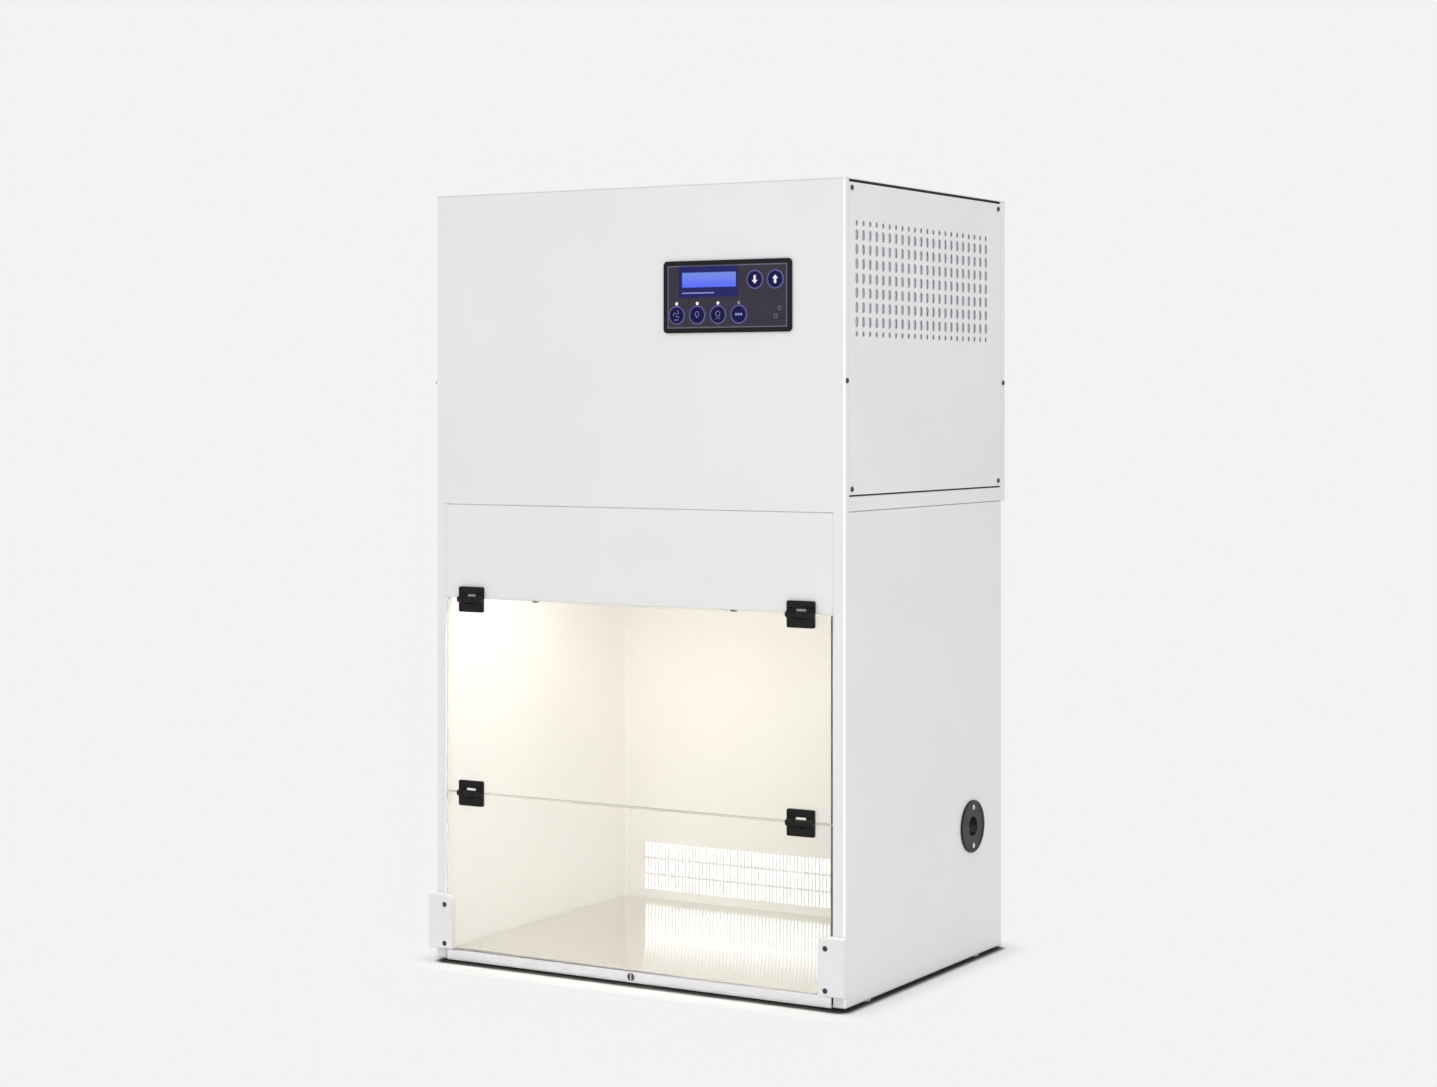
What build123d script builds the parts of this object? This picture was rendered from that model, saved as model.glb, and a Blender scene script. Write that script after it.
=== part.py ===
"""Bench-top laminar flow hood with a folding two-pane front window.

A folded-sheet work chamber carries a fan housing on top. Air is drawn through the perforated side
panel and a pre-filter, pressed through a pleated filter into the chamber, and leaves through the
slots low in the rear wall. Two clear panes hang on plastic hinges and fold outwards and up.

Lengths are millimetres. While the pieces are built, x = 0 is the middle of the cabinet, y = 0 is
the plane of its front face with +y towards the rear, and z = 0 is the bench. The pieces are written
with the middle of the whole object's depth at y = 0.
"""
from build123d import *
import os
from math import cos, radians, sin

# Overall sizes
WIDTH = 700.0
DEPTH = 520.0
HEIGHT = 1156.0
SEAM_Z = 691.0
HOUSING_STEP = 14.0
SHEET = 1.5
BEND = 2.0
WALL = 20.0
RETURN = 12.0

# Clearances
FIT = 0.3
SIDE_PLAY = 0.5
HEADER_PLAY = 0.1
RUN_PLAY = 0.05

# Feet and base
FOOT_HEIGHT = 4.0
FOOT_RADIUS = 13.0
FOOT_INSET_X = 16.0
FOOT_INSET_Y = 80.0
FOOT_CHAMFER = 1.0
BASE_FLANGE = 12.0
BASE_CORNER = 20.0

# Front opening, sill and worktop
JAMB_DEPTH = 14.0
EDGE_GAP = 1.5
SILL_TOP = 20.0
SILL_BOTTOM = 3.0
SILL_LEDGE = 12.0
REAR_WALL_INSET = 12.0

# Panes
PANE_THICK = 5.0
PANE_PROUD = 0.5
PANE_GAP = 0.7
HEADER_JOINT_Z = 548.0
MIDDLE_JOINT_Z = 257.0
PANE_FOOT_GAP = 1.0
PANE_CHAMFER = 0.6
SEAL_LIP = 3.0
SEAL_THICK = 2.0
SEAL_PLAY = 0.4
SEAL_WEB = 1.5
BUFFER_X = 170.0
BUFFER_SIZE = (8.0, 9.0, 1.0)

# Hinges
HINGE_WIDTH = 44.0
HINGE_LEAF = 19.0
HINGE_LEAF_THICK = 4.6
HINGE_KNUCKLE_RADIUS = 4.75
HINGE_MIDDLE = 18.0
HINGE_PIN_RADIUS = 1.5
HINGE_INSET = 68.0
HINGE_GAP = 0.4
HINGE_STANDOFF = 0.35
HINGE_CORNER = 2.5
HINGE_NOTCH = 3.2

# Finger grips on the lower pane
GRIP_OVERHANG = 5.0
GRIP_WIDTH = 42.0
GRIP_HEIGHT = 82.0
GRIP_THICK = 12.0
GRIP_CORNER = 9.0
GRIP_EDGE = 1.5
GRIP_SCREW_INSET = 25.0
GRIP_SCREW_FOOT = 8.0
GRIP_SCREW_PITCH = 58.5

# Screws
SCREW_RADIUS = 2.0
SCREW_HEAD_RADIUS = 3.8
SCREW_HEAD = 2.2
SCREW_LENGTH = 8.0

# Quarter-turn fastener in the sill
LOCK_HEAD_RADIUS = 5.8
LOCK_HEAD = 1.8
LOCK_RADIUS = 2.5
LOCK_LENGTH = 9.0
LOCK_BAR = 8.0
LOCK_BAR_THICK = 2.0
LOCK_SLOT = 1.6
LOCK_SEAT_PLAY = 0.1
CLIP_Y = 4.0
CLIP_THICK = 1.2
CLIP_WIDTH = 18.0
CLIP_TOP_GAP = 1.0

# Slots low in the rear wall
SLOT_WIDTH = 3.4
SLOT_HEIGHT = 23.0
SLOT_PITCH = 6.6
SLOT_ROWS = 3
SLOT_ROW_PITCH = 27.0
SLOT_FOOT = 14.5
SLOT_MARGIN = 35.0

# Cable port in the right wall
PORT_REAR = 109.0
PORT_Z = 202.0
PORT_RADIUS = 39.5
PORT_FLANGE = 2.5
PORT_RIM = 1.0
PORT_RIM_WIDTH = 5.0
PORT_BORE_RADIUS = 13.0
PORT_SLEEVE_RADIUS = 20.0
PORT_SCREW_PITCH = 58.0

# Fan housing
RIM_HEIGHT = 22.0
RAIL_FLANGE = 10.0
REAR_RETURN = 19.0
SEAM_GAP = 0.05
PANEL_FOOT_GAP = 2.0
PANEL_TOP_GAP = 4.0
GASKET_THICK = 2.0
GASKET_WIDTH = 14.0
FRONT_POST_LEG = 28.0
REAR_POST_LEG = 34.0
POST_SIDE_LEG = 25.0
COVER_SCREW_Z = 874.0
PANEL_SCREW_INSET = 8.0
TOP_FLANGE = 13.0
TOP_FLANGE_INSET = 12.5
TOP_FLANGE_END = 20.0

# Perforation of the right side panel
PERF_ROWS = 7
PERF_PITCH = 20.3
PERF_END_PITCH = 16.5
PERF_SLOT_WIDTH = 10.0
PERF_SLOT_HEIGHT = 15.0
PERF_ROUND = 8.0
PERF_SHOULDER = 0.6
PERF_FRONT = 36.0
PERF_REAR = 40.0
PERF_DROP = 133.5
PRE_FILTER_THICK = 12.0
PRE_FILTER_MARGIN = 12.0

# Control panel
KEYPAD_WIDTH = 210.0
KEYPAD_HEIGHT = 103.0
KEYPAD_THICK = 3.0
KEYPAD_CORNER = 6.0
KEYPAD_SIDE = 83.0
KEYPAD_DROP = 211.5
KEY_RADIUS = 12.3
KEY_PLAY = 0.3
KEY_PROUD = 0.5
KEY_TRAVEL = 0.5
KEY_PITCH = 34.3
KEY_FIRST = 22.2
KEY_ROW = 25.5
ARROW_FIRST = 151.2
ARROW_PITCH = 33.0
ARROW_ROW = 74.2
LIGHT_RADIUS = 1.4
LIGHT_RISE = 16.5
WINDOW_LEFT = 27.0
WINDOW_FOOT = 51.0
WINDOW_WIDTH = 96.0
WINDOW_HEIGHT = 43.0
DISPLAY_THICK = 2.4
BOARD_THICK = 1.6
BOARD_STANDOFF = 6.0
BOARD_MARGIN = 12.0
BOARD_POST_RADIUS = 3.0
BOARD_POST_INSET = 8.0
RIBBON_WIDTH = 30.0
RIBBON_HEIGHT = 3.0

# Main filter, plenum and blower
FILTER_SIDE = 30.0
FILTER_REAR = 26.0
FILTER_HEIGHT = 69.0
FILTER_FRONT = 26.0
FILTER_WALL = 18.0
FILTER_RECESS = 4.0
FILTER_LAND = 20.0
PLENUM_HEIGHT = 150.0
INLET_RADIUS = 54.0
INLET_LIP = 8.0
WHEEL_RADIUS = 95.0
WHEEL_HEIGHT = 58.0
WHEEL_DISC = 2.0
WHEEL_EYE_GAP = 2.0
WHEEL_EYE_RADIUS = 58.0
BLADE_COUNT = 9
BLADE_THICK = 1.6
BLADE_SWEEP = 42.0
BLADE_BEND = 0.42
HUB_RADIUS = 14.0
HUB_LENGTH = 20.0
SHAFT_RADIUS = 4.0
MOTOR_RADIUS = 40.0
MOTOR_LENGTH = 40.0
MOTOR_GAP = 6.0
MOTOR_EDGE = 3.0
BRIDGE_WIDTH = 60.0
BRIDGE_THICK = 3.0
BRIDGE_TAB = 20.0
SUPPLY_SIZE = (150.0, 80.0, 50.0)
SUPPLY_SIDE = 160.0
SUPPLY_REAR_GAP = 40.0

# Ceiling of the chamber and its lamps
CEILING_DROP = 30.0
CEILING_FLANGE = 14.0
CEILING_SLOT = (110.0, 8.0)
CEILING_SLOT_PITCH = (135.0, 34.0)
CEILING_MARGIN = 60.0
LAMP_RADIUS = 8.0
LAMP_END = 55.5
LAMP_DROP = 23.0
LAMP_FRONT_Y = 45.0
LAMP_PITCH = 30.0
LAMP_PLAY = 0.2
HOLDER_THICK = 18.0
HOLDER_EDGE = 12.0
HOLDER_SEAT = 6.0

# Mains inlet in the rear cover
INLET_SIDE = 120.0
INLET_DROP = 168.5
INLET_WIDTH = 48.0
INLET_HEIGHT = 30.0
INLET_FLANGE = 2.5
INLET_BODY = (28.0, 20.0, 22.0)
INLET_CAVITY = (24.0, 16.0, 16.0)
INLET_BLADE = (2.0, 4.0, 12.0)
INLET_BLADE_PITCH = 7.0

# Planes that several pieces share
HALF = WIDTH / 2
HOUSING_DEPTH = DEPTH + HOUSING_STEP
REAR_WALL_Y = DEPTH - REAR_WALL_INSET
JAMB_X = HALF - WALL
BASE_TOP = FOOT_HEIGHT + SHEET
HEADER_X = JAMB_X - SIDE_PLAY
PANE_X = JAMB_X - EDGE_GAP
PANE_FRONT = -PANE_PROUD
PANE_BACK = PANE_FRONT + PANE_THICK
PANE_FOOT = SILL_TOP + PANE_FOOT_GAP
HINGE_Y = PANE_FRONT - HINGE_KNUCKLE_RADIUS - HINGE_STANDOFF
HINGE_X = HALF - HINGE_INSET
RAIL_TOP = SEAM_Z + RIM_HEIGHT
COVER_TOP = HEIGHT - SHEET
PANEL_FOOT = RAIL_TOP + PANEL_FOOT_GAP
PANEL_TOP = COVER_TOP - PANEL_TOP_GAP
PANEL_FRONT = RETURN + SIDE_PLAY
PANEL_REAR = HOUSING_DEPTH - REAR_RETURN - SIDE_PLAY
POST_X = HALF - SHEET - GASKET_THICK
LIP_X = POST_X - POST_SIDE_LEG - SIDE_PLAY
REAR_POST_EDGE = HOUSING_DEPTH - SHEET - FIT - REAR_POST_LEG
PERF_COLUMNS = int((PANEL_REAR - PERF_REAR - PERF_FRONT) / PERF_PITCH) + 1
PERF_MIDDLE_Z = PANEL_TOP - PERF_DROP
PORT_Y = DEPTH - PORT_REAR
KEYPAD_X = HALF - KEYPAD_SIDE - KEYPAD_WIDTH
KEYPAD_Z = COVER_TOP - KEYPAD_DROP
FILTER_WIDTH = 2 * (JAMB_X - FILTER_SIDE)
FILTER_LENGTH = REAR_WALL_Y - FILTER_REAR - FILTER_FRONT
FILTER_Z = SEAM_Z + SHEET
FILTER_MIDDLE_Y = FILTER_FRONT + FILTER_LENGTH / 2
PLENUM_Z = FILTER_Z + FILTER_HEIGHT
PLENUM_TOP = PLENUM_Z + PLENUM_HEIGHT
WHEEL_TOP = PLENUM_TOP - SHEET - INLET_LIP - WHEEL_EYE_GAP
WHEEL_FOOT = WHEEL_TOP - WHEEL_HEIGHT
SUPPLY_X = SUPPLY_SIDE - HALF
INLET_X = INLET_SIDE - HALF
INLET_Z = COVER_TOP - INLET_DROP
CEILING_Z = SEAM_Z - CEILING_DROP
LAMP_LENGTH = 2 * (JAMB_X - LAMP_END)
LOCK_Z = (SILL_TOP + SILL_BOTTOM) / 2
GRIP_OUTER = HALF + GRIP_OVERHANG
GRIP_SCREW_X = HALF - GRIP_SCREW_INSET
DEPTH_MIDDLE = (PANE_FRONT - GRIP_THICK + HOUSING_DEPTH + INLET_FLANGE) / 2


# --- shapes that repeat -------------------------------------------------------------------------

def block(x0, x1, y0, y1, z0, z1):
    """Box between two opposite corners."""
    return Pos((x0 + x1) / 2, (y0 + y1) / 2, (z0 + z1) / 2) * Box(x1 - x0, y1 - y0, z1 - z0)


def rod_x(x0, x1, y, z, radius):
    """Cylinder along x."""
    return Pos((x0 + x1) / 2, y, z) * Rot(0, 90, 0) * Cylinder(radius, x1 - x0)


def rod_y(x, y0, y1, z, radius):
    """Cylinder along y."""
    return Pos(x, (y0 + y1) / 2, z) * Rot(90, 0, 0) * Cylinder(radius, y1 - y0)


def rod_z(x, y, z0, z1, radius):
    """Cylinder along z."""
    return Pos(x, y, (z0 + z1) / 2) * Cylinder(radius, z1 - z0)


def folded(*points, thick=SHEET):
    """Section of a folded sheet whose mid-line runs through the points."""
    return trace(FilletPolyline(*points, radius=BEND + thick / 2), thick)


def upright(section, z0, z1):
    """Extrude a section drawn in x and y from z0 to z1."""
    return extrude(Plane.XY.offset(z0) * section, z1 - z0)


def across(section, x0, x1):
    """Extrude a section drawn in y and z from x0 to x1."""
    return extrude(Plane.YZ.offset(x0) * section, x1 - x0)


def lengthwise(section, y0, y1):
    """Extrude a section drawn in x and z from y0 to y1."""
    return extrude(Plane.XZ.offset(-y0) * section, -(y1 - y0))


def mirrored(shape):
    """The same piece for the other side of the cabinet."""
    return mirror(shape, about=Plane.YZ)


def both_sides(shape):
    """One piece and its mirror image, as two separate solids."""
    return Compound(children=[*shape.solids(), *mirrored(shape).solids()])


def group(shapes):
    """Several separate solids that share a node."""
    return Compound(children=[s for shape in shapes for s in shape.solids()])


def ring_plate(y0, y1, z0, z1, width, x0, x1):
    """Rectangular ring lying in a plane of constant x."""
    outer = block(x0, x1, y0, y1, z0, z1)
    return outer - block(x0, x1, y0 + width, y1 - width, z0 + width, z1 - width)


# --- work chamber -------------------------------------------------------------------------------

def port_hole():
    """Cutter for the cable port's sleeve through the double wall."""
    return rod_x(JAMB_X - WALL, HALF + WALL, PORT_Y, PORT_Z, PORT_SLEEVE_RADIUS + FIT)


def port_screw_places():
    """Heights of the two screws that hold the port's flange."""
    return [PORT_Z - PORT_SCREW_PITCH / 2, PORT_Z + PORT_SCREW_PITCH / 2]


def side_wall():
    """Outer skin of the right wall: a channel with a front jamb and a rear return."""
    edge = SHEET / 2
    inner = JAMB_X + edge
    outer = HALF - edge
    rear = DEPTH - edge
    section = folded((inner, JAMB_DEPTH), (inner, edge), (outer, edge), (outer, rear), (inner, rear))
    return upright(section, BASE_TOP, SEAM_Z)


def drilled_wall():
    """Right skin with the cable port's hole and screw holes."""
    wall = side_wall() - port_hole()
    for z in port_screw_places():
        wall -= rod_x(HALF - WALL / 2, HALF + WALL, PORT_Y, z, SCREW_RADIUS + RUN_PLAY)
    return wall


def side_liner():
    """Inner sheet of the right wall, flanged outwards at the front and the rear."""
    edge = SHEET / 2
    inner = JAMB_X + edge
    outer = JAMB_X + RETURN
    front = JAMB_DEPTH + FIT + edge
    rear = DEPTH - SHEET - FIT - edge
    section = folded((outer, front), (inner, front), (inner, rear), (outer, rear))
    return upright(section, BASE_TOP, SEAM_Z)


def rear_wall():
    """Rear wall of the chamber with three rows of upright outlet slots."""
    edge = SHEET / 2
    side = JAMB_X - FIT - edge
    middle = REAR_WALL_Y + edge
    section = folded((-side, DEPTH), (-side, middle), (side, middle), (side, DEPTH))
    wall = upright(section, BASE_TOP, SEAM_Z)
    columns = int((2 * side - 2 * SLOT_MARGIN) // SLOT_PITCH)
    slots = []
    for row in range(SLOT_ROWS):
        foot = SILL_TOP + SLOT_FOOT + row * SLOT_ROW_PITCH
        for column in range(columns):
            x = (column - (columns - 1) / 2) * SLOT_PITCH
            slots.append(block(x - SLOT_WIDTH / 2, x + SLOT_WIDTH / 2, REAR_WALL_Y - SHEET,
                               REAR_WALL_Y + 2 * SHEET, foot, foot + SLOT_HEIGHT))
    return wall - slots


def base_plate():
    """Floor sheet that the walls stand on, flanged up inside them."""
    edge = SHEET / 2
    side = HALF - SHEET - FIT - edge
    low = FOOT_HEIGHT + edge
    high = FOOT_HEIGHT + BASE_FLANGE
    sheet = block(-HALF + SIDE_PLAY, HALF - SIDE_PLAY, SHEET + FIT, DEPTH - SIDE_PLAY,
                  FOOT_HEIGHT, BASE_TOP)
    channel = folded((-side, high), (-side, low), (side, low), (side, high))
    return sheet + lengthwise(channel, BASE_CORNER, DEPTH - BASE_CORNER)


def feet():
    """Four round glides under the side walls."""
    places = [(x, y) for x in (-HALF + FOOT_INSET_X, HALF - FOOT_INSET_X)
              for y in (FOOT_INSET_Y, DEPTH - FOOT_INSET_Y)]
    glide = rod_z(0, 0, 0, FOOT_HEIGHT, FOOT_RADIUS)
    glide = chamfer(glide.edges().group_by(Axis.Z)[0], FOOT_CHAMFER)
    return group([Pos(x, y, 0) * glide for x, y in places])


def worktop():
    """Stainless tray that lifts out once the sill fastener is turned."""
    edge = SHEET / 2
    side = HEADER_X - edge
    front = SILL_LEDGE + FIT
    section = folded((-side, BASE_TOP), (-side, SILL_TOP - edge), (side, SILL_TOP - edge),
                     (side, BASE_TOP))
    tray = lengthwise(section, front, REAR_WALL_Y - SIDE_PLAY)
    apron = block(-side + BEND + SHEET, side - BEND - SHEET, front, front + SHEET,
                  BASE_TOP, SILL_TOP - edge)
    return tray + apron


def front_sill():
    """Brushed strip across the foot of the opening, with a ledge in front of the worktop."""
    edge = SHEET / 2
    section = folded((SILL_LEDGE, SILL_TOP - edge), (edge, SILL_TOP - edge), (edge, SILL_BOTTOM))
    sill = across(section, -PANE_X, PANE_X)
    return sill - rod_y(0, -SHEET, 2 * SHEET, LOCK_Z, LOCK_RADIUS + RUN_PLAY)


def sill_lock_stud():
    """Quarter-turn stud: slotted head outside the sill, cross-bar behind the clip."""
    front = -LOCK_SEAT_PLAY - LOCK_HEAD
    head = rod_y(0, front, -LOCK_SEAT_PLAY, LOCK_Z, LOCK_HEAD_RADIUS)
    head = chamfer(head.edges().group_by(Axis.Y)[0], LOCK_HEAD / 3)
    slot = block(-LOCK_SLOT / 2, LOCK_SLOT / 2, front, front + LOCK_HEAD / 2,
                 LOCK_Z - LOCK_HEAD_RADIUS, LOCK_Z + LOCK_HEAD_RADIUS)
    shank = rod_y(0, -LOCK_SEAT_PLAY, LOCK_LENGTH, LOCK_Z, LOCK_RADIUS)
    bar_y = CLIP_Y + CLIP_THICK + FIT
    bar = block(-LOCK_BAR_THICK / 2, LOCK_BAR_THICK / 2, bar_y, bar_y + LOCK_BAR_THICK,
                LOCK_Z - LOCK_BAR / 2, LOCK_Z + LOCK_BAR / 2)
    return head - slot + shank + bar


def sill_lock_clip():
    """Bracket on the base plate that the stud's cross-bar grips."""
    top = SILL_TOP - SHEET - CLIP_TOP_GAP
    plate = block(-CLIP_WIDTH / 2, CLIP_WIDTH / 2, CLIP_Y, CLIP_Y + CLIP_THICK, BASE_TOP, top)
    foot = block(-CLIP_WIDTH / 2, CLIP_WIDTH / 2, SHEET + 2 * FIT, CLIP_Y, BASE_TOP,
                 BASE_TOP + CLIP_THICK)
    foot_hole = rod_y(0, 0, CLIP_Y, LOCK_Z, LOCK_RADIUS + FIT)
    hole = rod_y(0, CLIP_Y - SHEET, CLIP_Y + 2 * SHEET, LOCK_Z, LOCK_RADIUS + FIT)
    reach = LOCK_BAR / 2 + FIT
    half_bar = LOCK_BAR_THICK / 2 + FIT
    key_way = block(-reach, reach, CLIP_Y - SHEET, CLIP_Y + 2 * SHEET,
                    LOCK_Z - half_bar, LOCK_Z + half_bar)
    return plate + foot - foot_hole - hole - key_way


def header_panel():
    """White panel between the window and the fan housing, folded in at its top and foot."""
    edge = SHEET / 2
    low = HEADER_JOINT_Z + PANE_GAP + edge
    high = SEAM_Z - SEAM_GAP - edge
    section = folded((RETURN, low), (edge, low), (edge, high), (RETURN, high))
    side = JAMB_X - HEADER_PLAY
    return across(section, -side, side)


def pane_buffer():
    """Small rubber pad under the header's lower fold, just above the window."""
    width, depth, height = BUFFER_SIZE
    top = HEADER_JOINT_Z + PANE_GAP
    return block(BUFFER_X - width / 2, BUFFER_X + width / 2, PANE_FRONT, depth,
                 top - height, top)


def pane_seal():
    """Rubber angle on the right jamb: its lip backs the pane edge."""
    front = PANE_BACK + SEAL_PLAY
    back = front + SEAL_THICK
    end = JAMB_DEPTH - SIDE_PLAY
    outline = Polyline((JAMB_X - SEAL_LIP, front), (JAMB_X, front), (JAMB_X, end),
                       (JAMB_X - SEAL_WEB, end), (JAMB_X - SEAL_WEB, back),
                       (JAMB_X - SEAL_LIP, back), close=True)
    return upright(make_face(outline), PANE_FOOT, HEADER_JOINT_Z)


def window_rubbers():
    """Jamb seals and header pads, two of each."""
    return both_sides(group([pane_seal(), pane_buffer()]))


# --- window -------------------------------------------------------------------------------------

def grip_screw_heights():
    """Heights of the two screws in each finger grip."""
    first = PANE_FOOT + GRIP_SCREW_FOOT
    return [first, first + GRIP_SCREW_PITCH]


def pane(z0, z1):
    """Clear pane with eased edges."""
    sheet = block(-PANE_X, PANE_X, PANE_FRONT, PANE_BACK, z0, z1)
    return chamfer(sheet.edges().filter_by(Axis.X), PANE_CHAMFER)


def upper_pane():
    """Pane that hangs from the header."""
    return pane(MIDDLE_JOINT_Z + PANE_GAP, HEADER_JOINT_Z - PANE_GAP)


def lower_pane():
    """Pane that hangs from the upper pane and closes down to the sill."""
    sheet = pane(PANE_FOOT, MIDDLE_JOINT_Z - PANE_GAP)
    for x in (-GRIP_SCREW_X, GRIP_SCREW_X):
        for z in grip_screw_heights():
            sheet -= rod_y(x, PANE_FRONT - SHEET, PANE_BACK + SHEET, z, SCREW_RADIUS + FIT)
    return sheet


def hinge_leaf(x, joint_z, up, seat_y):
    """One leaf of a three-knuckle butt hinge, cut clear of the other leaf's knuckles.

    up is 1 for the fixed leaf above the joint, which has the two outer knuckles, and -1 for the
    moving leaf below it, which has the middle one. seat_y is the face that the leaf is bonded to.
    """
    half = HINGE_WIDTH / 2
    middle = HINGE_MIDDLE / 2
    face = PANE_FRONT - HINGE_LEAF_THICK
    near = joint_z + up * HINGE_GAP / 2
    far = joint_z + up * HINGE_LEAF
    low, high = min(near, far), max(near, far)
    leaf = block(x - half, x + half, face, seat_y, low, high)
    corners = leaf.edges().filter_by(Axis.Y).group_by(Axis.Z)[-1 if up > 0 else 0]
    leaf = fillet(corners, HINGE_CORNER)
    spans = [(-half, -middle), (middle, half)]
    others = [(-middle, middle)]
    if up < 0:
        spans, others = others, spans
    for a, b in spans:
        a, b = (a + HINGE_GAP / 2 if a > -half else a), (b - HINGE_GAP / 2 if b < half else b)
        leaf += rod_x(x + a, x + b, HINGE_Y, joint_z, HINGE_KNUCKLE_RADIUS)
    for a, b in others:
        a, b = (a - HINGE_GAP / 2 if a > -half else a), (b + HINGE_GAP / 2 if b < half else b)
        leaf -= rod_x(x + a, x + b, HINGE_Y, joint_z, HINGE_KNUCKLE_RADIUS + HINGE_GAP)
        if up > 0:
            notch = joint_z + HINGE_KNUCKLE_RADIUS + HINGE_NOTCH
            leaf -= block(x + a, x + b, face - SHEET, seat_y + SHEET, joint_z, notch)
    return leaf - rod_x(x - half, x + half, HINGE_Y, joint_z, HINGE_PIN_RADIUS + RUN_PLAY)


def hinge_pins(joint_z):
    """The pins of the two hinges on one joint line."""
    half = HINGE_WIDTH / 2 - HINGE_GAP
    return both_sides(rod_x(HINGE_X - half, HINGE_X + half, HINGE_Y, joint_z, HINGE_PIN_RADIUS))


def grip():
    """Right finger grip: a white block that overlaps the wall's front flange."""
    inner = GRIP_OUTER - GRIP_WIDTH
    top = PANE_FOOT + GRIP_HEIGHT
    back = PANE_FRONT
    shape = block(inner, GRIP_OUTER, back - GRIP_THICK, back, PANE_FOOT, top)
    corner = shape.edges().filter_by(Axis.Y).group_by(Axis.Z)[-1]
    shape = fillet(corner.sort_by(Axis.X)[0], GRIP_CORNER)
    shape = chamfer(shape.faces().sort_by(Axis.Y)[0].edges(), GRIP_EDGE)
    for z in grip_screw_heights():
        shape -= rod_y(GRIP_SCREW_X, back - GRIP_THICK, back, z, SCREW_RADIUS + FIT)
        shape -= rod_y(GRIP_SCREW_X, back - GRIP_THICK, back - GRIP_THICK + SCREW_HEAD, z,
                       SCREW_HEAD_RADIUS + FIT)
    return shape


def grip_screws():
    """Screws sunk in the grips and through the lower pane."""
    front = PANE_FRONT - GRIP_THICK
    screws = []
    for z in grip_screw_heights():
        head = rod_y(GRIP_SCREW_X, front, front + SCREW_HEAD, z, SCREW_HEAD_RADIUS)
        screws.append(head + rod_y(GRIP_SCREW_X, front, PANE_BACK - FIT, z, SCREW_RADIUS))
    return both_sides(group(screws))


# --- fan housing --------------------------------------------------------------------------------

def panel_screw_places():
    """Places in y and z of the four screws in each side panel."""
    ys = (PANEL_FRONT + PANEL_SCREW_INSET, PANEL_REAR - PANEL_SCREW_INSET)
    zs = (PANEL_FOOT + PANEL_SCREW_INSET, PANEL_TOP - PANEL_SCREW_INSET)
    return [(y, z) for y in ys for z in zs]


def cover_screw_places():
    """Places in y and z of the screws at mid-height in the cover returns."""
    return [(RETURN / 2, COVER_SCREW_Z), (HOUSING_DEPTH - REAR_RETURN / 2, COVER_SCREW_Z)]


def drill_side(shape, places, play):
    """Cut screw holes through both side faces of a shape."""
    for y, z in places:
        for side in (-1, 1):
            reach = sorted((side * (POST_X - 2 * SHEET), side * (HALF + SHEET)))
            shape -= rod_x(*reach, y, z, SCREW_RADIUS + play)
    return shape


def deck_rail():
    """Right rail on top of the walls: its rim shows below the side panel, its shelf takes the
    main filter."""
    edge = SHEET / 2
    shelf = FILTER_WIDTH / 2 - FILTER_LAND
    low = SEAM_Z + edge
    high = RAIL_TOP - edge
    section = folded((shelf, low), (HALF - edge, low), (HALF - edge, high),
                     (HALF - RAIL_FLANGE, high))
    return lengthwise(section, RETURN + FIT, HOUSING_DEPTH - REAR_RETURN - FIT)


def front_cover():
    """Front cover of the housing with short side returns and a slot for the keypad ribbon."""
    edge = SHEET / 2
    low = SEAM_Z + SEAM_GAP
    high = COVER_TOP - FIT
    section = folded((-HALF + edge, RETURN), (-HALF + edge, edge), (HALF - edge, edge),
                     (HALF - edge, RETURN))
    cover = upright(section, low, high)
    for z in (low, high - SHEET):
        cover += block(-LIP_X, LIP_X, edge, RETURN, z, z + SHEET)
    ribbon = block(KEYPAD_X + WINDOW_LEFT, KEYPAD_X + WINDOW_LEFT + RIBBON_WIDTH, -SHEET, 2 * SHEET,
                   KEYPAD_Z + WINDOW_FOOT, KEYPAD_Z + WINDOW_FOOT + RIBBON_HEIGHT)
    return drill_side(cover - ribbon, cover_screw_places()[:1], FIT)


def rear_cover():
    """Rear cover of the housing with deeper returns, two lips and the mains inlet's cut-out."""
    edge = SHEET / 2
    start = HOUSING_DEPTH - REAR_RETURN
    back = HOUSING_DEPTH - edge
    section = folded((-HALF + edge, start), (-HALF + edge, back), (HALF - edge, back),
                     (HALF - edge, start))
    high = COVER_TOP - FIT
    cover = upright(section, SEAM_Z, high)
    for z in (SEAM_Z, high - SHEET):
        cover += block(-LIP_X, LIP_X, DEPTH + FIT, back, z, z + SHEET)
    width, height, _ = INLET_BODY
    cover -= block(INLET_X - width / 2 - FIT, INLET_X + width / 2 + FIT, back - SHEET,
                   HOUSING_DEPTH + SHEET, INLET_Z - height / 2 - FIT, INLET_Z + height / 2 + FIT)
    return drill_side(cover, cover_screw_places()[1:], FIT)


def top_cover():
    """Lid sheet with two flanges that drop inside the side panels."""
    lid = block(-HALF, HALF, 0, HOUSING_DEPTH, COVER_TOP, HEIGHT)
    lid = fillet(lid.edges().filter_by(Axis.Z), BEND + SHEET)
    outer = HALF - TOP_FLANGE_INSET
    flange = block(outer - SHEET, outer, FRONT_POST_LEG + TOP_FLANGE_END,
                   REAR_POST_EDGE - TOP_FLANGE_END, COVER_TOP - TOP_FLANGE, COVER_TOP)
    return lid + flange + mirrored(flange)


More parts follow.
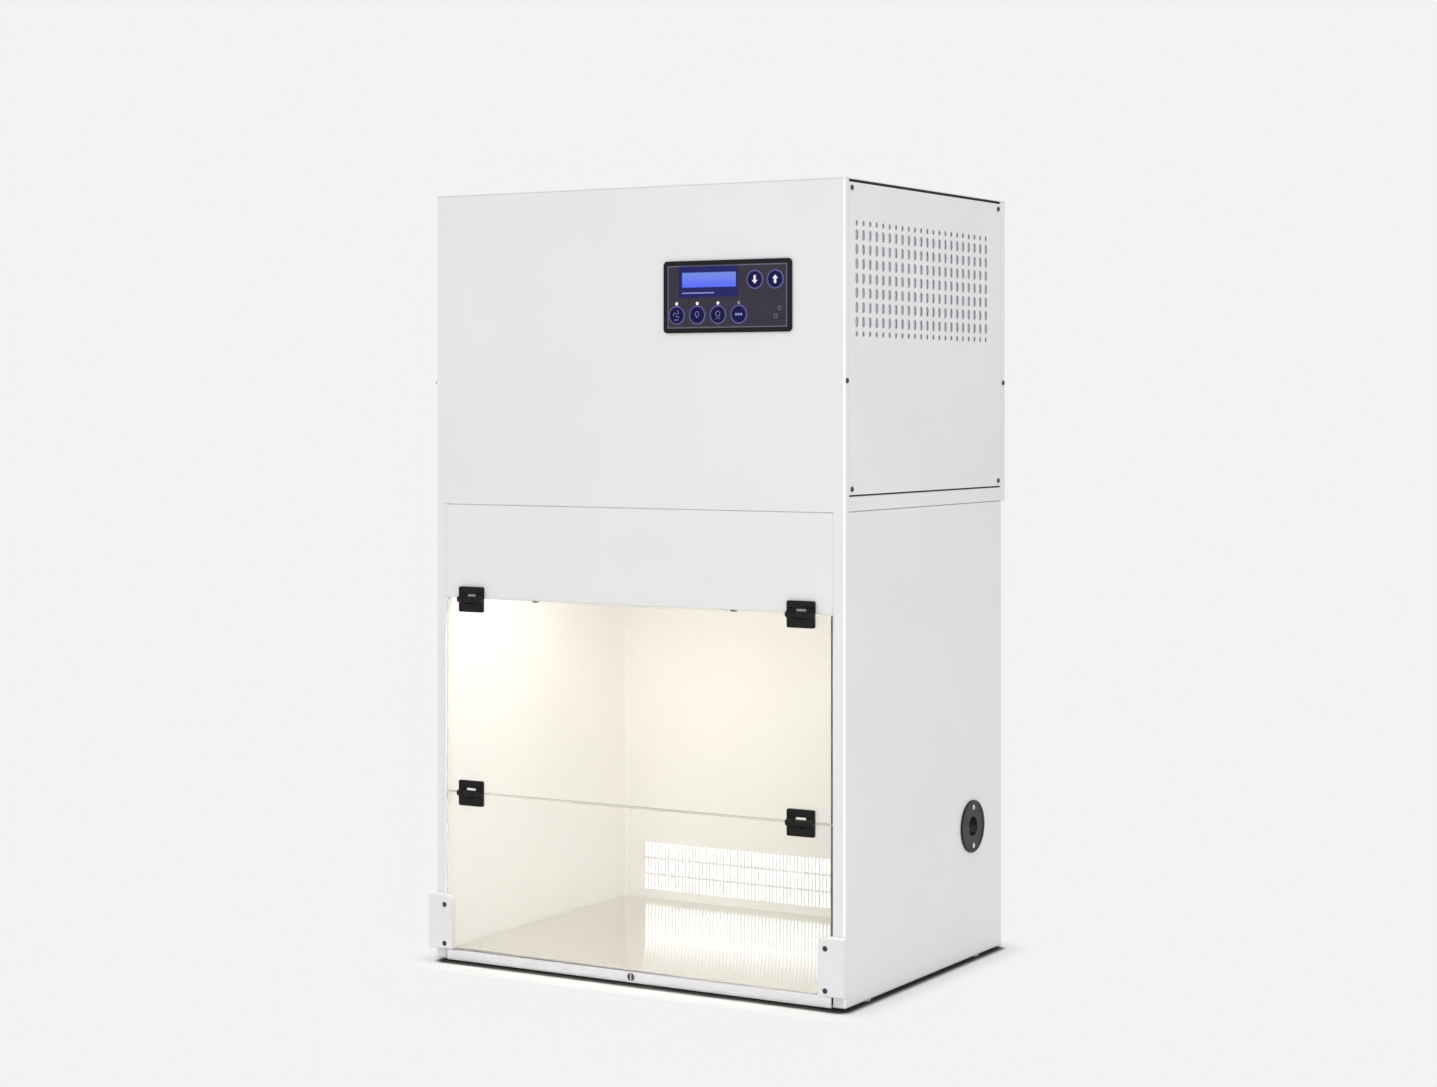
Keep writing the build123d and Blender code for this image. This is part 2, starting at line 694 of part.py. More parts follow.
def corner_posts():
    """Four angle posts between the deck rails and the lid."""
    front = SHEET + FIT
    rear = HOUSING_DEPTH - SHEET - FIT
    posts = []
    for y, leg in ((front, FRONT_POST_LEG), (rear, -REAR_POST_LEG)):
        edge = SHEET / 2 if leg > 0 else -SHEET / 2
        section = folded((POST_X - POST_SIDE_LEG, y + edge), (POST_X - SHEET / 2, y + edge),
                         (POST_X - SHEET / 2, y + leg))
        posts.append(upright(section, RAIL_TOP, COVER_TOP))
    posts = group(posts)
    screws = panel_screw_places() + cover_screw_places()
    drilled = [drill_side(post, screws, RUN_PLAY) for post in posts.solids()]
    return both_sides(group(drilled))


def slot_wire(y, z, width, height):
    """Six-sided outline of an upright slot, drawn in y and z."""
    half_width, half_height = width / 2, height / 2
    shoulder = half_height - half_width * PERF_SHOULDER
    points = [(y - half_width, z - shoulder), (y, z - half_height), (y + half_width, z - shoulder),
              (y + half_width, z + shoulder), (y, z + half_height), (y - half_width, z + shoulder)]
    return Wire.make_polygon([Vector(HALF - SHEET, *p) for p in points], close=True)


def perforation():
    """Outlines of the intake holes: upright slots with a row of small holes above and below."""
    wires = []
    for column in range(PERF_COLUMNS):
        y = PERF_FRONT + column * PERF_PITCH
        for row in range(PERF_ROWS):
            z = PERF_MIDDLE_Z + (row - (PERF_ROWS - 1) / 2) * PERF_PITCH
            wires.append(slot_wire(y, z, PERF_SLOT_WIDTH, PERF_SLOT_HEIGHT))
        end = (PERF_ROWS - 1) / 2 * PERF_PITCH + PERF_END_PITCH
        for z in (PERF_MIDDLE_Z - end, PERF_MIDDLE_Z + end):
            wires.append(slot_wire(y, z, PERF_ROUND, PERF_ROUND))
    return wires


def side_panel(holes):
    """Right access panel, with the given outlines cut out of it."""
    x = HALF - SHEET
    corners = [(PANEL_FRONT, PANEL_FOOT), (PANEL_REAR, PANEL_FOOT), (PANEL_REAR, PANEL_TOP),
               (PANEL_FRONT, PANEL_TOP)]
    outline = Wire.make_polygon([Vector(x, *c) for c in corners], close=True)
    sheet = extrude(Face(outline, holes), SHEET, dir=(1, 0, 0))
    return drill_side(sheet, panel_screw_places(), FIT)


def panel_gaskets():
    """Black foam ring behind each side panel, which shows in the gaps above and below it."""
    ring = ring_plate(PANEL_FRONT, PANEL_REAR, RAIL_TOP, COVER_TOP, GASKET_WIDTH, POST_X,
                      POST_X + GASKET_THICK)
    return both_sides(drill_side(ring, panel_screw_places(), FIT))


def pre_filter():
    """Filter mat held behind the perforation by the posts."""
    field = (PERF_ROWS - 1) / 2 * PERF_PITCH + PERF_END_PITCH
    outer = POST_X - SHEET - FIT
    return block(outer - PRE_FILTER_THICK, outer, PERF_FRONT - PRE_FILTER_MARGIN,
                 REAR_POST_EDGE + PRE_FILTER_MARGIN / 2,
                 PERF_MIDDLE_Z - field - PRE_FILTER_MARGIN, PERF_MIDDLE_Z + field + PRE_FILTER_MARGIN)


def pan_head_x(side, y, z, seat):
    """Pan-head screw along x, with its head seated at the given distance from the middle."""
    head = rod_x(seat, seat + SCREW_HEAD, y, z, SCREW_HEAD_RADIUS)
    head = chamfer(head.edges().group_by(Axis.X)[-1], SCREW_HEAD / 2)
    screw = head + rod_x(seat - SCREW_LENGTH, seat, y, z, SCREW_RADIUS)
    return screw if side > 0 else mirrored(screw)


def housing_screws():
    """Screws of the side panels, the covers and the cable port."""
    places = panel_screw_places() + cover_screw_places()
    screws = [pan_head_x(side, y, z, HALF) for side in (-1, 1) for y, z in places]
    screws += [pan_head_x(1, PORT_Y, z, HALF + PORT_FLANGE) for z in port_screw_places()]
    return group(screws)


# --- control panel ------------------------------------------------------------------------------

def key_places():
    """Names and centres of the six keys, in x and z."""
    row = ["key_blower", "key_lamp", "key_uv", "key_set"]
    places = {name: (KEYPAD_X + KEY_FIRST + i * KEY_PITCH, KEYPAD_Z + KEY_ROW)
              for i, name in enumerate(row)}
    for i, name in enumerate(["key_down", "key_up"]):
        places[name] = (KEYPAD_X + ARROW_FIRST + i * ARROW_PITCH, KEYPAD_Z + ARROW_ROW)
    return places


def light_places():
    """Centres of the lights above the lower keys, in x and z."""
    row_z = KEYPAD_Z + KEY_ROW
    return [(x, z + LIGHT_RISE) for x, z in key_places().values() if z == row_z]


def window(play, y0, y1):
    """The display's window in the keypad, shrunk by the play."""
    left, foot = KEYPAD_X + WINDOW_LEFT, KEYPAD_Z + WINDOW_FOOT
    return block(left + play, left + WINDOW_WIDTH - play, y0, y1, foot + play,
                 foot + WINDOW_HEIGHT - play)


def keypad_panel():
    """Keypad plate on the front cover, with bores for the keys and a window for the display."""
    plate = block(KEYPAD_X, KEYPAD_X + KEYPAD_WIDTH, -KEYPAD_THICK, 0, KEYPAD_Z,
                  KEYPAD_Z + KEYPAD_HEIGHT)
    plate = fillet(plate.edges().filter_by(Axis.Y), KEYPAD_CORNER)
    plate -= window(0, -2 * KEYPAD_THICK, KEYPAD_THICK)
    for x, z in key_places().values():
        plate -= rod_y(x, -2 * KEYPAD_THICK, KEYPAD_THICK, z, KEY_RADIUS + KEY_PLAY)
    for x, z in light_places():
        plate -= rod_y(x, -2 * KEYPAD_THICK, KEYPAD_THICK, z, LIGHT_RADIUS + RUN_PLAY)
    return plate


def key(x, z):
    """Round key that is pressed towards the cover."""
    front = -KEYPAD_THICK - KEY_PROUD
    cap = rod_y(x, front, -KEY_TRAVEL - FIT, z, KEY_RADIUS)
    return chamfer(cap.edges().group_by(Axis.Y)[0], KEY_PROUD)


def status_lights():
    """Small lights above the lower keys."""
    return group([rod_y(x, -KEYPAD_THICK - RUN_PLAY, 0, z, LIGHT_RADIUS) for x, z in light_places()])


def display_module():
    """Two-line display in the keypad's window."""
    return window(FIT, -DISPLAY_THICK, 0)


def control_board():
    """Circuit board behind the keypad, on four posts."""
    x0, x1 = KEYPAD_X + BOARD_MARGIN, KEYPAD_X + KEYPAD_WIDTH - BOARD_MARGIN
    z0, z1 = KEYPAD_Z + BOARD_MARGIN, KEYPAD_Z + KEYPAD_HEIGHT - BOARD_MARGIN
    seat = SHEET + BOARD_STANDOFF
    board = block(x0, x1, seat, seat + BOARD_THICK, z0, z1)
    for x in (x0 + BOARD_POST_INSET, x1 - BOARD_POST_INSET):
        for z in (z0 + BOARD_POST_INSET, z1 - BOARD_POST_INSET):
            board += rod_y(x, SHEET, seat, z, BOARD_POST_RADIUS)
    return board


# --- air path -----------------------------------------------------------------------------------

def filter_frame():
    """Open frame of the main filter, which rests on the shelves of the rails."""
    half = FILTER_WIDTH / 2
    rear = FILTER_FRONT + FILTER_LENGTH
    outer = block(-half, half, FILTER_FRONT, rear, FILTER_Z, PLENUM_Z)
    return outer - block(-half + FILTER_WALL, half - FILTER_WALL, FILTER_FRONT + FILTER_WALL,
                         rear - FILTER_WALL, FILTER_Z, PLENUM_Z)


def filter_pack():
    """Pleated media pack inside the frame."""
    half = FILTER_WIDTH / 2 - FILTER_WALL
    return block(-half, half, FILTER_FRONT + FILTER_WALL, FILTER_FRONT + FILTER_LENGTH - FILTER_WALL,
                 FILTER_Z + FILTER_RECESS, PLENUM_Z - FILTER_RECESS)


def plenum_box():
    """Pressure box on the filter, open below, with the blower's inlet nozzle in its top."""
    half = FILTER_WIDTH / 2
    rear = FILTER_FRONT + FILTER_LENGTH
    shell = block(-half, half, FILTER_FRONT, rear, PLENUM_Z, PLENUM_TOP)
    shell -= block(-half + SHEET, half - SHEET, FILTER_FRONT + SHEET, rear - SHEET, PLENUM_Z,
                   PLENUM_TOP - SHEET)
    lip = rod_z(0, FILTER_MIDDLE_Y, PLENUM_TOP - SHEET - INLET_LIP, PLENUM_TOP, INLET_RADIUS + SHEET)
    eye = rod_z(0, FILTER_MIDDLE_Y, PLENUM_TOP - SHEET - INLET_LIP, PLENUM_TOP, INLET_RADIUS)
    return shell + lip - eye


def blade(angle):
    """One backward-curved blade of the wheel."""
    inner, outer = WHEEL_EYE_RADIUS, WHEEL_RADIUS - BLADE_THICK
    start = angle
    middle = angle - BLADE_SWEEP * BLADE_BEND
    end = angle - BLADE_SWEEP

    def point(radius, turn):
        return radius * cos(radians(turn)), radius * sin(radians(turn))

    curve = ThreePointArc(point(inner, start), point((inner + outer) / 2, middle), point(outer, end))
    section = Pos(0, FILTER_MIDDLE_Y) * trace(curve, BLADE_THICK)
    return upright(section, WHEEL_FOOT + WHEEL_DISC / 2, WHEEL_TOP - WHEEL_DISC / 2)


def blower_wheel():
    """Backward-curved wheel: back disc with hub, blades and a flat shroud ring round the eye."""
    y = FILTER_MIDDLE_Y
    wheel = rod_z(0, y, WHEEL_FOOT, WHEEL_FOOT + WHEEL_DISC, WHEEL_RADIUS)
    wheel += rod_z(0, y, WHEEL_FOOT, WHEEL_FOOT + HUB_LENGTH, HUB_RADIUS)
    shroud = rod_z(0, y, WHEEL_TOP - WHEEL_DISC, WHEEL_TOP, WHEEL_RADIUS)
    wheel += shroud - rod_z(0, y, WHEEL_TOP - WHEEL_DISC, WHEEL_TOP, WHEEL_EYE_RADIUS)
    for i in range(BLADE_COUNT):
        wheel += blade(i * 360 / BLADE_COUNT)
    return wheel - rod_z(0, y, WHEEL_FOOT, WHEEL_TOP, SHAFT_RADIUS + RUN_PLAY)


def blower_motor():
    """Motor below the wheel, with its shaft through the wheel's hub."""
    y = FILTER_MIDDLE_Y
    top = WHEEL_FOOT - MOTOR_GAP
    case = rod_z(0, y, top - MOTOR_LENGTH, top, MOTOR_RADIUS)
    case = chamfer(case.edges().group_by(Axis.Z)[-1], MOTOR_EDGE)
    return case + rod_z(0, y, top, WHEEL_FOOT + HUB_LENGTH, SHAFT_RADIUS)


def motor_bridge():
    """Folded strip across the plenum that carries the motor."""
    seat = WHEEL_FOOT - MOTOR_GAP - MOTOR_LENGTH
    front = FILTER_FRONT + SHEET + BRIDGE_THICK / 2
    rear = FILTER_FRONT + FILTER_LENGTH - SHEET - BRIDGE_THICK / 2
    level = seat - BRIDGE_THICK / 2
    section = folded((front, seat + BRIDGE_TAB), (front, level), (rear, level),
                     (rear, seat + BRIDGE_TAB), thick=BRIDGE_THICK)
    return across(section, -BRIDGE_WIDTH / 2, BRIDGE_WIDTH / 2)


def power_supply():
    """Power supply on top of the plenum."""
    width, depth, height = SUPPLY_SIZE
    rear = FILTER_FRONT + FILTER_LENGTH - SUPPLY_REAR_GAP
    case = block(SUPPLY_X - width / 2, SUPPLY_X + width / 2, rear - depth, rear, PLENUM_TOP,
                 PLENUM_TOP + height)
    return chamfer(case.faces().sort_by(Axis.Z)[-1].edges(), SHEET)


def mains_inlet():
    """Three-blade appliance inlet set in the rear cover."""
    width, height, depth = INLET_BODY
    hollow_width, hollow_height, hollow_depth = INLET_CAVITY
    face = HOUSING_DEPTH + INLET_FLANGE
    body = block(INLET_X - INLET_WIDTH / 2, INLET_X + INLET_WIDTH / 2, HOUSING_DEPTH, face,
                 INLET_Z - INLET_HEIGHT / 2, INLET_Z + INLET_HEIGHT / 2)
    body += block(INLET_X - width / 2, INLET_X + width / 2, HOUSING_DEPTH - depth, HOUSING_DEPTH,
                  INLET_Z - height / 2, INLET_Z + height / 2)
    body -= block(INLET_X - hollow_width / 2, INLET_X + hollow_width / 2, face - hollow_depth, face,
                  INLET_Z - hollow_height / 2, INLET_Z + hollow_height / 2)
    blade_width, blade_height, blade_length = INLET_BLADE
    for i in (-1, 0, 1):
        x = INLET_X + i * INLET_BLADE_PITCH
        root = face - hollow_depth
        body += block(x - blade_width / 2, x + blade_width / 2, root, root + blade_length,
                      INLET_Z - blade_height / 2, INLET_Z + blade_height / 2)
    return body


def ceiling_grille():
    """Slotted sheet under the filter, flanged up against the liners."""
    edge = SHEET / 2
    side = HEADER_X - edge
    low = CEILING_Z + edge
    section = folded((-side, CEILING_Z + CEILING_FLANGE), (-side, low), (side, low),
                     (side, CEILING_Z + CEILING_FLANGE))
    y0, y1 = RETURN + SIDE_PLAY, REAR_WALL_Y - SIDE_PLAY
    sheet = lengthwise(section, y0, y1)
    width, height = CEILING_SLOT
    pitch_x, pitch_y = CEILING_SLOT_PITCH
    columns = int((2 * side - CEILING_MARGIN) // pitch_x)
    rows = int((y1 - y0 - CEILING_MARGIN) // pitch_y)
    slots = []
    for column in range(columns):
        for row in range(rows):
            x = (column - (columns - 1) / 2) * pitch_x
            y = (y0 + y1) / 2 + (row - (rows - 1) / 2) * pitch_y
            slots.append(block(x - width / 2, x + width / 2, y - height / 2, y + height / 2,
                               CEILING_Z - SHEET, CEILING_Z + 2 * SHEET))
    return sheet - slots


def lamp_rows():
    """The two lamps' places along y."""
    return [LAMP_FRONT_Y, LAMP_FRONT_Y + LAMP_PITCH]


def lamp_tubes():
    """White lamp in front and germicidal lamp behind it."""
    half = LAMP_LENGTH / 2
    return group([rod_x(-half, half, y, CEILING_Z - LAMP_DROP, LAMP_RADIUS) for y in lamp_rows()])


def lamp_holders():
    """Block under the ceiling at each end of the lamps, with a socket for each."""
    inner = LAMP_LENGTH / 2 - HOLDER_SEAT
    radius = LAMP_RADIUS + HOLDER_EDGE
    rows = lamp_rows()
    body = block(inner, inner + HOLDER_THICK, rows[0] - radius, rows[-1] + radius,
                 CEILING_Z - LAMP_DROP - radius + HOLDER_EDGE / 2, CEILING_Z)
    body = chamfer(body.edges().filter_by(Axis.X).group_by(Axis.Z)[0], HOLDER_EDGE / 2)
    for y in rows:
        body -= rod_x(inner, LAMP_LENGTH / 2 + LAMP_PLAY, y, CEILING_Z - LAMP_DROP,
                      LAMP_RADIUS + LAMP_PLAY)
    return both_sides(body)


def cable_port():
    """Round port through the right wall: rimmed flange, sleeve and a clear bore."""
    inside = JAMB_X - PORT_RIM
    flange = rod_x(HALF, HALF + PORT_FLANGE, PORT_Y, PORT_Z, PORT_RADIUS)
    rim = rod_x(HALF + PORT_FLANGE, HALF + PORT_FLANGE + PORT_RIM, PORT_Y, PORT_Z, PORT_RADIUS)
    rim -= rod_x(HALF, HALF + 2 * PORT_FLANGE, PORT_Y, PORT_Z, PORT_RADIUS - PORT_RIM_WIDTH)
    sleeve = rod_x(inside, HALF + PORT_FLANGE, PORT_Y, PORT_Z, PORT_SLEEVE_RADIUS)
    body = flange + rim + sleeve
    for z in port_screw_places():
        body -= rod_x(HALF, HALF + PORT_FLANGE, PORT_Y, z, SCREW_RADIUS + FIT)
    return body - rod_x(inside, HALF + PORT_FLANGE, PORT_Y, PORT_Z, PORT_BORE_RADIUS)


# --- all pieces ---------------------------------------------------------------------------------

def all_pieces():
    """Every node's name and shape."""
    wall, liner, handle = side_wall(), side_liner(), grip()
    pieces = {
        "side_wall_left": mirrored(wall),
        "side_wall_right": drilled_wall(),
        "side_liner_left": mirrored(liner),
        "side_liner_right": liner - port_hole(),
        "rear_wall": rear_wall(),
        "base_plate": base_plate(),
        "feet": feet(),
        "worktop": worktop(),
        "front_sill": front_sill(),
        "sill_lock_stud": sill_lock_stud(),
        "sill_lock_clip": sill_lock_clip(),
        "header_panel": header_panel(),
        "window_rubbers": window_rubbers(),
        "upper_pane": upper_pane(),
        "lower_pane": lower_pane(),
        "grip_left": mirrored(handle),
        "grip_right": handle,
        "grip_screws": grip_screws(),
        "deck_rails": both_sides(deck_rail()),
        "front_cover": front_cover(),
        "rear_cover": rear_cover(),
        "top_cover": top_cover(),
        "corner_posts": corner_posts(),
        "side_panel_left": mirrored(side_panel([])),
        "side_panel_right": side_panel(perforation()),
        "panel_gaskets": panel_gaskets(),
        "pre_filter": pre_filter(),
        "housing_screws": housing_screws(),
        "keypad_panel": keypad_panel(),
        "status_lights": status_lights(),
        "display_module": display_module(),
        "control_board": control_board(),
        "filter_frame": filter_frame(),
        "filter_pack": filter_pack(),
        "plenum_box": plenum_box(),
        "blower_wheel": blower_wheel(),
        "blower_motor": blower_motor(),
        "motor_bridge": motor_bridge(),
        "power_supply": power_supply(),
        "mains_inlet": mains_inlet(),
        "ceiling_grille": ceiling_grille(),
        "lamp_tubes": lamp_tubes(),
        "lamp_holders": lamp_holders(),
        "cable_port": cable_port(),
    }
    for name, (x, z) in key_places().items():
        pieces[name] = key(x, z)
    joints = (("upper", HEADER_JOINT_Z, 0.0), ("middle", MIDDLE_JOINT_Z, PANE_FRONT))
    for line, z, seat in joints:
        pieces[f"{line}_hinge_pins"] = hinge_pins(z)
        for side, x in (("left", -HINGE_X), ("right", HINGE_X)):
            pieces[f"{line}_hinge_{side}_fixed"] = hinge_leaf(x, z, 1, seat)
            pieces[f"{line}_hinge_{side}_moving"] = hinge_leaf(x, z, -1, PANE_FRONT)
    return pieces


def placed(shape):
    """The piece with the middle of the whole depth at y = 0, as one solid or a set of solids."""
    solids = [Pos(0, -DEPTH_MIDDLE, 0) * solid for solid in shape.solids()]
    return solids[0] if len(solids) == 1 else Compound(children=solids)


os.makedirs("parts", exist_ok=True)
for node, shape in all_pieces().items():
    export_step(placed(shape), f"parts/{node}.step")
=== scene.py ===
"""Surfaces and finishes of a bench-top laminar flow hood.

The hood is a white sheet-metal chamber with a folding clear window and a lit, brushed worktop, under
a fan housing with a perforated intake panel and a membrane keypad. Each sub-assembly is a class that
holds its sizes, works out its surfaces and gives every piece its finish.

Lengths are metres. +Z is up, the window faces -Y and the perforated panel faces +X.
"""

import logging
import math
from dataclasses import dataclass, field
from enum import Enum

import bmesh
import bpy
import numpy as np
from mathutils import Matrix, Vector


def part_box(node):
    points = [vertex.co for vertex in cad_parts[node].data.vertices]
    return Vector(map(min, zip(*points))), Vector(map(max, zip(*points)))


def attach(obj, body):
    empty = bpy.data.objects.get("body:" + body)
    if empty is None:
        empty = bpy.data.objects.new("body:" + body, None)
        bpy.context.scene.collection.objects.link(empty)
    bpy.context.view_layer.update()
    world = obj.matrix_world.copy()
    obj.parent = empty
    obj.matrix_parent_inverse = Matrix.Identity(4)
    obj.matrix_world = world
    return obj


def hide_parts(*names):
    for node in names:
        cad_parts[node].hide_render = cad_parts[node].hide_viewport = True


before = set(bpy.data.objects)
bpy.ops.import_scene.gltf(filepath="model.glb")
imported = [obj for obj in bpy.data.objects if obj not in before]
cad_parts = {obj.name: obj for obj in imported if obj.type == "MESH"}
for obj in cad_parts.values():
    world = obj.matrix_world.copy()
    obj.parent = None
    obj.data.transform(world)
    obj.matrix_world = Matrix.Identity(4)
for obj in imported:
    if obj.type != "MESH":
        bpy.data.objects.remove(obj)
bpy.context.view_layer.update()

Array = np.ndarray
Point = tuple[float, float, float]
Colour = tuple[float, float, float]
LOG = logging.getLogger("laminar_flow_hood")
MM = 0.001
WITHIN_SHEET = 0.7 * MM  # a depth between the two faces of a folded sheet


class Facing(Enum):
    """Side of the hood that a surface looks out of: its right, its up and its outward direction."""

    FRONT = ((1, 0, 0), (0, 0, 1), (0, -1, 0))
    REAR = ((-1, 0, 0), (0, 0, 1), (0, 1, 0))
    RIGHT = ((0, 1, 0), (0, 0, 1), (1, 0, 0))
    LEFT = ((0, -1, 0), (0, 0, 1), (-1, 0, 0))
    UP = ((1, 0, 0), (0, 1, 0), (0, 0, 1))
    DOWN = ((1, 0, 0), (0, -1, 0), (0, 0, -1))

    def place(self, points: Array, seat: Point) -> Array:
        """Turns points given as right, up and out into hood coordinates.

        Args:
            points: Array whose last axis is right, up, out.
            seat: Where the local origin lies on the hood.

        Returns:
            Array of the same shape, in hood coordinates.
        """
        return np.asarray(points) @ np.array(self.value, float) + np.array(seat, float)


def linear(red: float, green: float, blue: float) -> Colour:
    """Scene-linear colour of a display colour given from 0 to 255.

    Each channel is brought to 0..1, and raised to 2.4 after the small offset of the display curve.

    Args:
        red: Red channel.
        green: Green channel.
        blue: Blue channel.

    Returns:
        The three linear channels, from 0 to 1.
    """
    channels = np.array([red, green, blue], float) / 255
    low = channels / 12.92
    high = ((channels + 0.055) / 1.055) ** 2.4
    return tuple(float(c) for c in np.where(channels <= 0.04045, low, high))


def darker(colour: Colour, share: float) -> Colour:
    """A colour less a share of it."""
    return tuple(c * (1 - share) for c in colour)


# --- finishes -----------------------------------------------------------------------------------


class NodeGraph:
    """Short names for the shader nodes that the finishes share."""

    def __init__(self, name: str) -> None:
        """Starts an empty material with its output and its coordinates.

        Args:
            name: Name of the material.
        """
        self.material = bpy.data.materials.new(name)
        self.material.use_nodes = True
        self.tree = self.material.node_tree
        self.tree.nodes.clear()
        self.output = self.tree.nodes.new("ShaderNodeOutputMaterial")
        self.place = self.tree.nodes.new("ShaderNodeTexCoord").outputs["Object"]

    def node(self, kind: str, **settings: object) -> bpy.types.Node:
        """New node of a kind, with its plain settings set.

        Args:
            kind: Blender's name for the kind of node.
            settings: Properties of the node and their values.

        Returns:
            The node.
        """
        made = self.tree.nodes.new(kind)
        for key, value in settings.items():
            setattr(made, key, value)
        return made

    def link(self, source: bpy.types.NodeSocket, target: bpy.types.NodeSocket) -> None:
        """Joins two sockets."""
        self.tree.links.new(source, target)

    def axes(self) -> tuple[bpy.types.NodeSocket, ...]:
        """The object coordinates as three sockets."""
        split = self.node("ShaderNodeSeparateXYZ")
        self.link(self.place, split.inputs[0])
        return tuple(split.outputs)

    def math(self, operation: str, first: object, second: object = 0.0) -> bpy.types.NodeSocket:
        """One arithmetic step on sockets or numbers.

        Args:
            operation: Name of Blender's math operation.
            first: Socket or number.
            second: Socket or number.

        Returns:
            The result's socket.
        """
        made = self.node("ShaderNodeMath", operation=operation)
        for socket, value in zip(made.inputs, (first, second)):
            if isinstance(value, bpy.types.NodeSocket):
                self.link(value, socket)
            else:
                socket.default_value = float(value)
        return made.outputs[0]

    def stretched(self, scale: Point, offset: Point = (0, 0, 0)) -> bpy.types.NodeSocket:
        """Object coordinates moved by minus offset, then multiplied by scale.

        Args:
            scale: Factor on each axis.
            offset: Point that becomes the origin.

        Returns:
            Socket with the new coordinates.
        """
        mapping = self.node("ShaderNodeMapping", vector_type="POINT")
        mapping.inputs["Location"].default_value = [-o * s for o, s in zip(offset, scale)]
        mapping.inputs["Scale"].default_value = scale
        self.link(self.place, mapping.inputs["Vector"])
        return mapping.outputs["Vector"]

    def noise(self, vector: bpy.types.NodeSocket, scale: float, detail: float = 2.0,
              roughness: float = 0.5) -> bpy.types.NodeSocket:
        """Noise from 0 to 1 on the given coordinates.

        Args:
            vector: Socket with the coordinates.
            scale: Waves of the coarsest layer per metre.
            detail: Number of finer layers.
            roughness: Weight of each finer layer.

        Returns:
            Socket with the noise.
        """
        made = self.node("ShaderNodeTexNoise")
        made.inputs["Scale"].default_value = scale
        made.inputs["Detail"].default_value = detail
        made.inputs["Roughness"].default_value = roughness
        self.link(vector, made.inputs["Vector"])
        return made.outputs["Fac"]

    def between(self, value: bpy.types.NodeSocket, low: float, high: float,
                to_low: float = 0.0, to_high: float = 1.0) -> bpy.types.NodeSocket:
        """Smoothly clamped ramp of a value.

        Args:
            value: Socket with the value.
            low: Value where the ramp starts.
            high: Value where it ends.
            to_low: Result at and below low.
            to_high: Result at and above high.

        Returns:
            Socket with the result.
        """
        made = self.node("ShaderNodeMapRange", interpolation_type="SMOOTHSTEP")
        for name, number in zip(("From Min", "From Max", "To Min", "To Max"),
                                (low, high, to_low, to_high)):
            made.inputs[name].default_value = number
        self.link(value, made.inputs["Value"])
        return made.outputs["Result"]

    def mixed(self, factor: object, first: object, second: object) -> bpy.types.NodeSocket:
        """Mix of two colours.

        Args:
            factor: Socket or number from 0 to 1.
            first: Socket or linear colour at factor 0.
            second: Socket or linear colour at factor 1.

        Returns:
            Socket with the mixed colour.
        """
        made = self.node("ShaderNodeMix", data_type="RGBA")
        for index, value in ((0, factor), (6, first), (7, second)):
            socket = made.inputs[index]
            if isinstance(value, bpy.types.NodeSocket):
                self.link(value, socket)
            elif index == 0:
                socket.default_value = float(value)
            else:
                socket.default_value = (*value, 1.0)
        return made.outputs[2]

    def bump(self, height: bpy.types.NodeSocket, depth: float,
             strength: float = 1.0) -> bpy.types.NodeSocket:
        """Normal tilted by a height field.

        Args:
            height: Socket with heights from 0 to 1.
            depth: Depth of the field in metres.
            strength: Share of the tilt that is used.

        Returns:
            Socket with the normal.
        """
        made = self.node("ShaderNodeBump")
        made.inputs["Strength"].default_value = strength
        made.inputs["Distance"].default_value = depth
        self.link(height, made.inputs["Height"])
        return made.outputs["Normal"]

    def shader(self, **inputs: object) -> bpy.types.Node:
        """The surface shader, linked to the material's output.

        Args:
            inputs: Sockets of the shader, with underscores for spaces, and their numbers or sockets.

        Returns:
            The shader's node.
        """
        made = self.node("ShaderNodeBsdfPrincipled")
        for name, value in inputs.items():
            socket = made.inputs[name.replace("_", " ")]
            if isinstance(value, bpy.types.NodeSocket):
                self.link(value, socket)
            elif isinstance(value, tuple) and len(value) == 3:
                socket.default_value = (*value, 1.0)
            else:
                socket.default_value = value
        self.link(made.outputs[0], self.output.inputs["Surface"])
        return made

    def rounded_box(self, x: bpy.types.NodeSocket, z: bpy.types.NodeSocket,
                    centre: tuple[float, float], size: tuple[float, float],
                    corner: float) -> bpy.types.NodeSocket:
        """Distance to a rounded rectangle's outline, negative inside it.

        The point is measured from the centre, folded into one quarter, and the half size less the
        corner radius is taken off. The length of what is left over, less the radius, is the distance.

        Args:
            x: Socket with the first coordinate.
            z: Socket with the second coordinate.
            centre: Middle of the rectangle.
            size: Its full width and height.
            corner: Radius of its corners.

        Returns:
            Socket with the distance in metres.
        """
        over = []
        for value, middle, full in zip((x, z), centre, size):
            folded = self.math("ABSOLUTE", self.math("SUBTRACT", value, middle))
            over.append(self.math("SUBTRACT", folded, full / 2 - corner))
        outside = [self.math("MAXIMUM", value, 0.0) for value in over]
        squares = [self.math("MULTIPLY", value, value) for value in outside]
        length = self.math("SQRT", self.math("ADD", *squares))
        inside = self.math("MINIMUM", self.math("MAXIMUM", *over), 0.0)
        return self.math("SUBTRACT", self.math("ADD", length, inside), corner)

    def ring(self, x: bpy.types.NodeSocket, z: bpy.types.NodeSocket,
             centre: tuple[float, float]) -> bpy.types.NodeSocket:
        """Distance from a centre: the root of the sum of both squared offsets.

        Args:
            x: Socket with the first coordinate.
            z: Socket with the second coordinate.
            centre: Point that the distance is measured from.

        Returns:
            Socket with the distance in metres.
        """
        squares = [self.math("POWER", self.math("SUBTRACT", value, middle), 2.0)
                   for value, middle in zip((x, z), centre)]
        return self.math("SQRT", self.math("ADD", *squares))


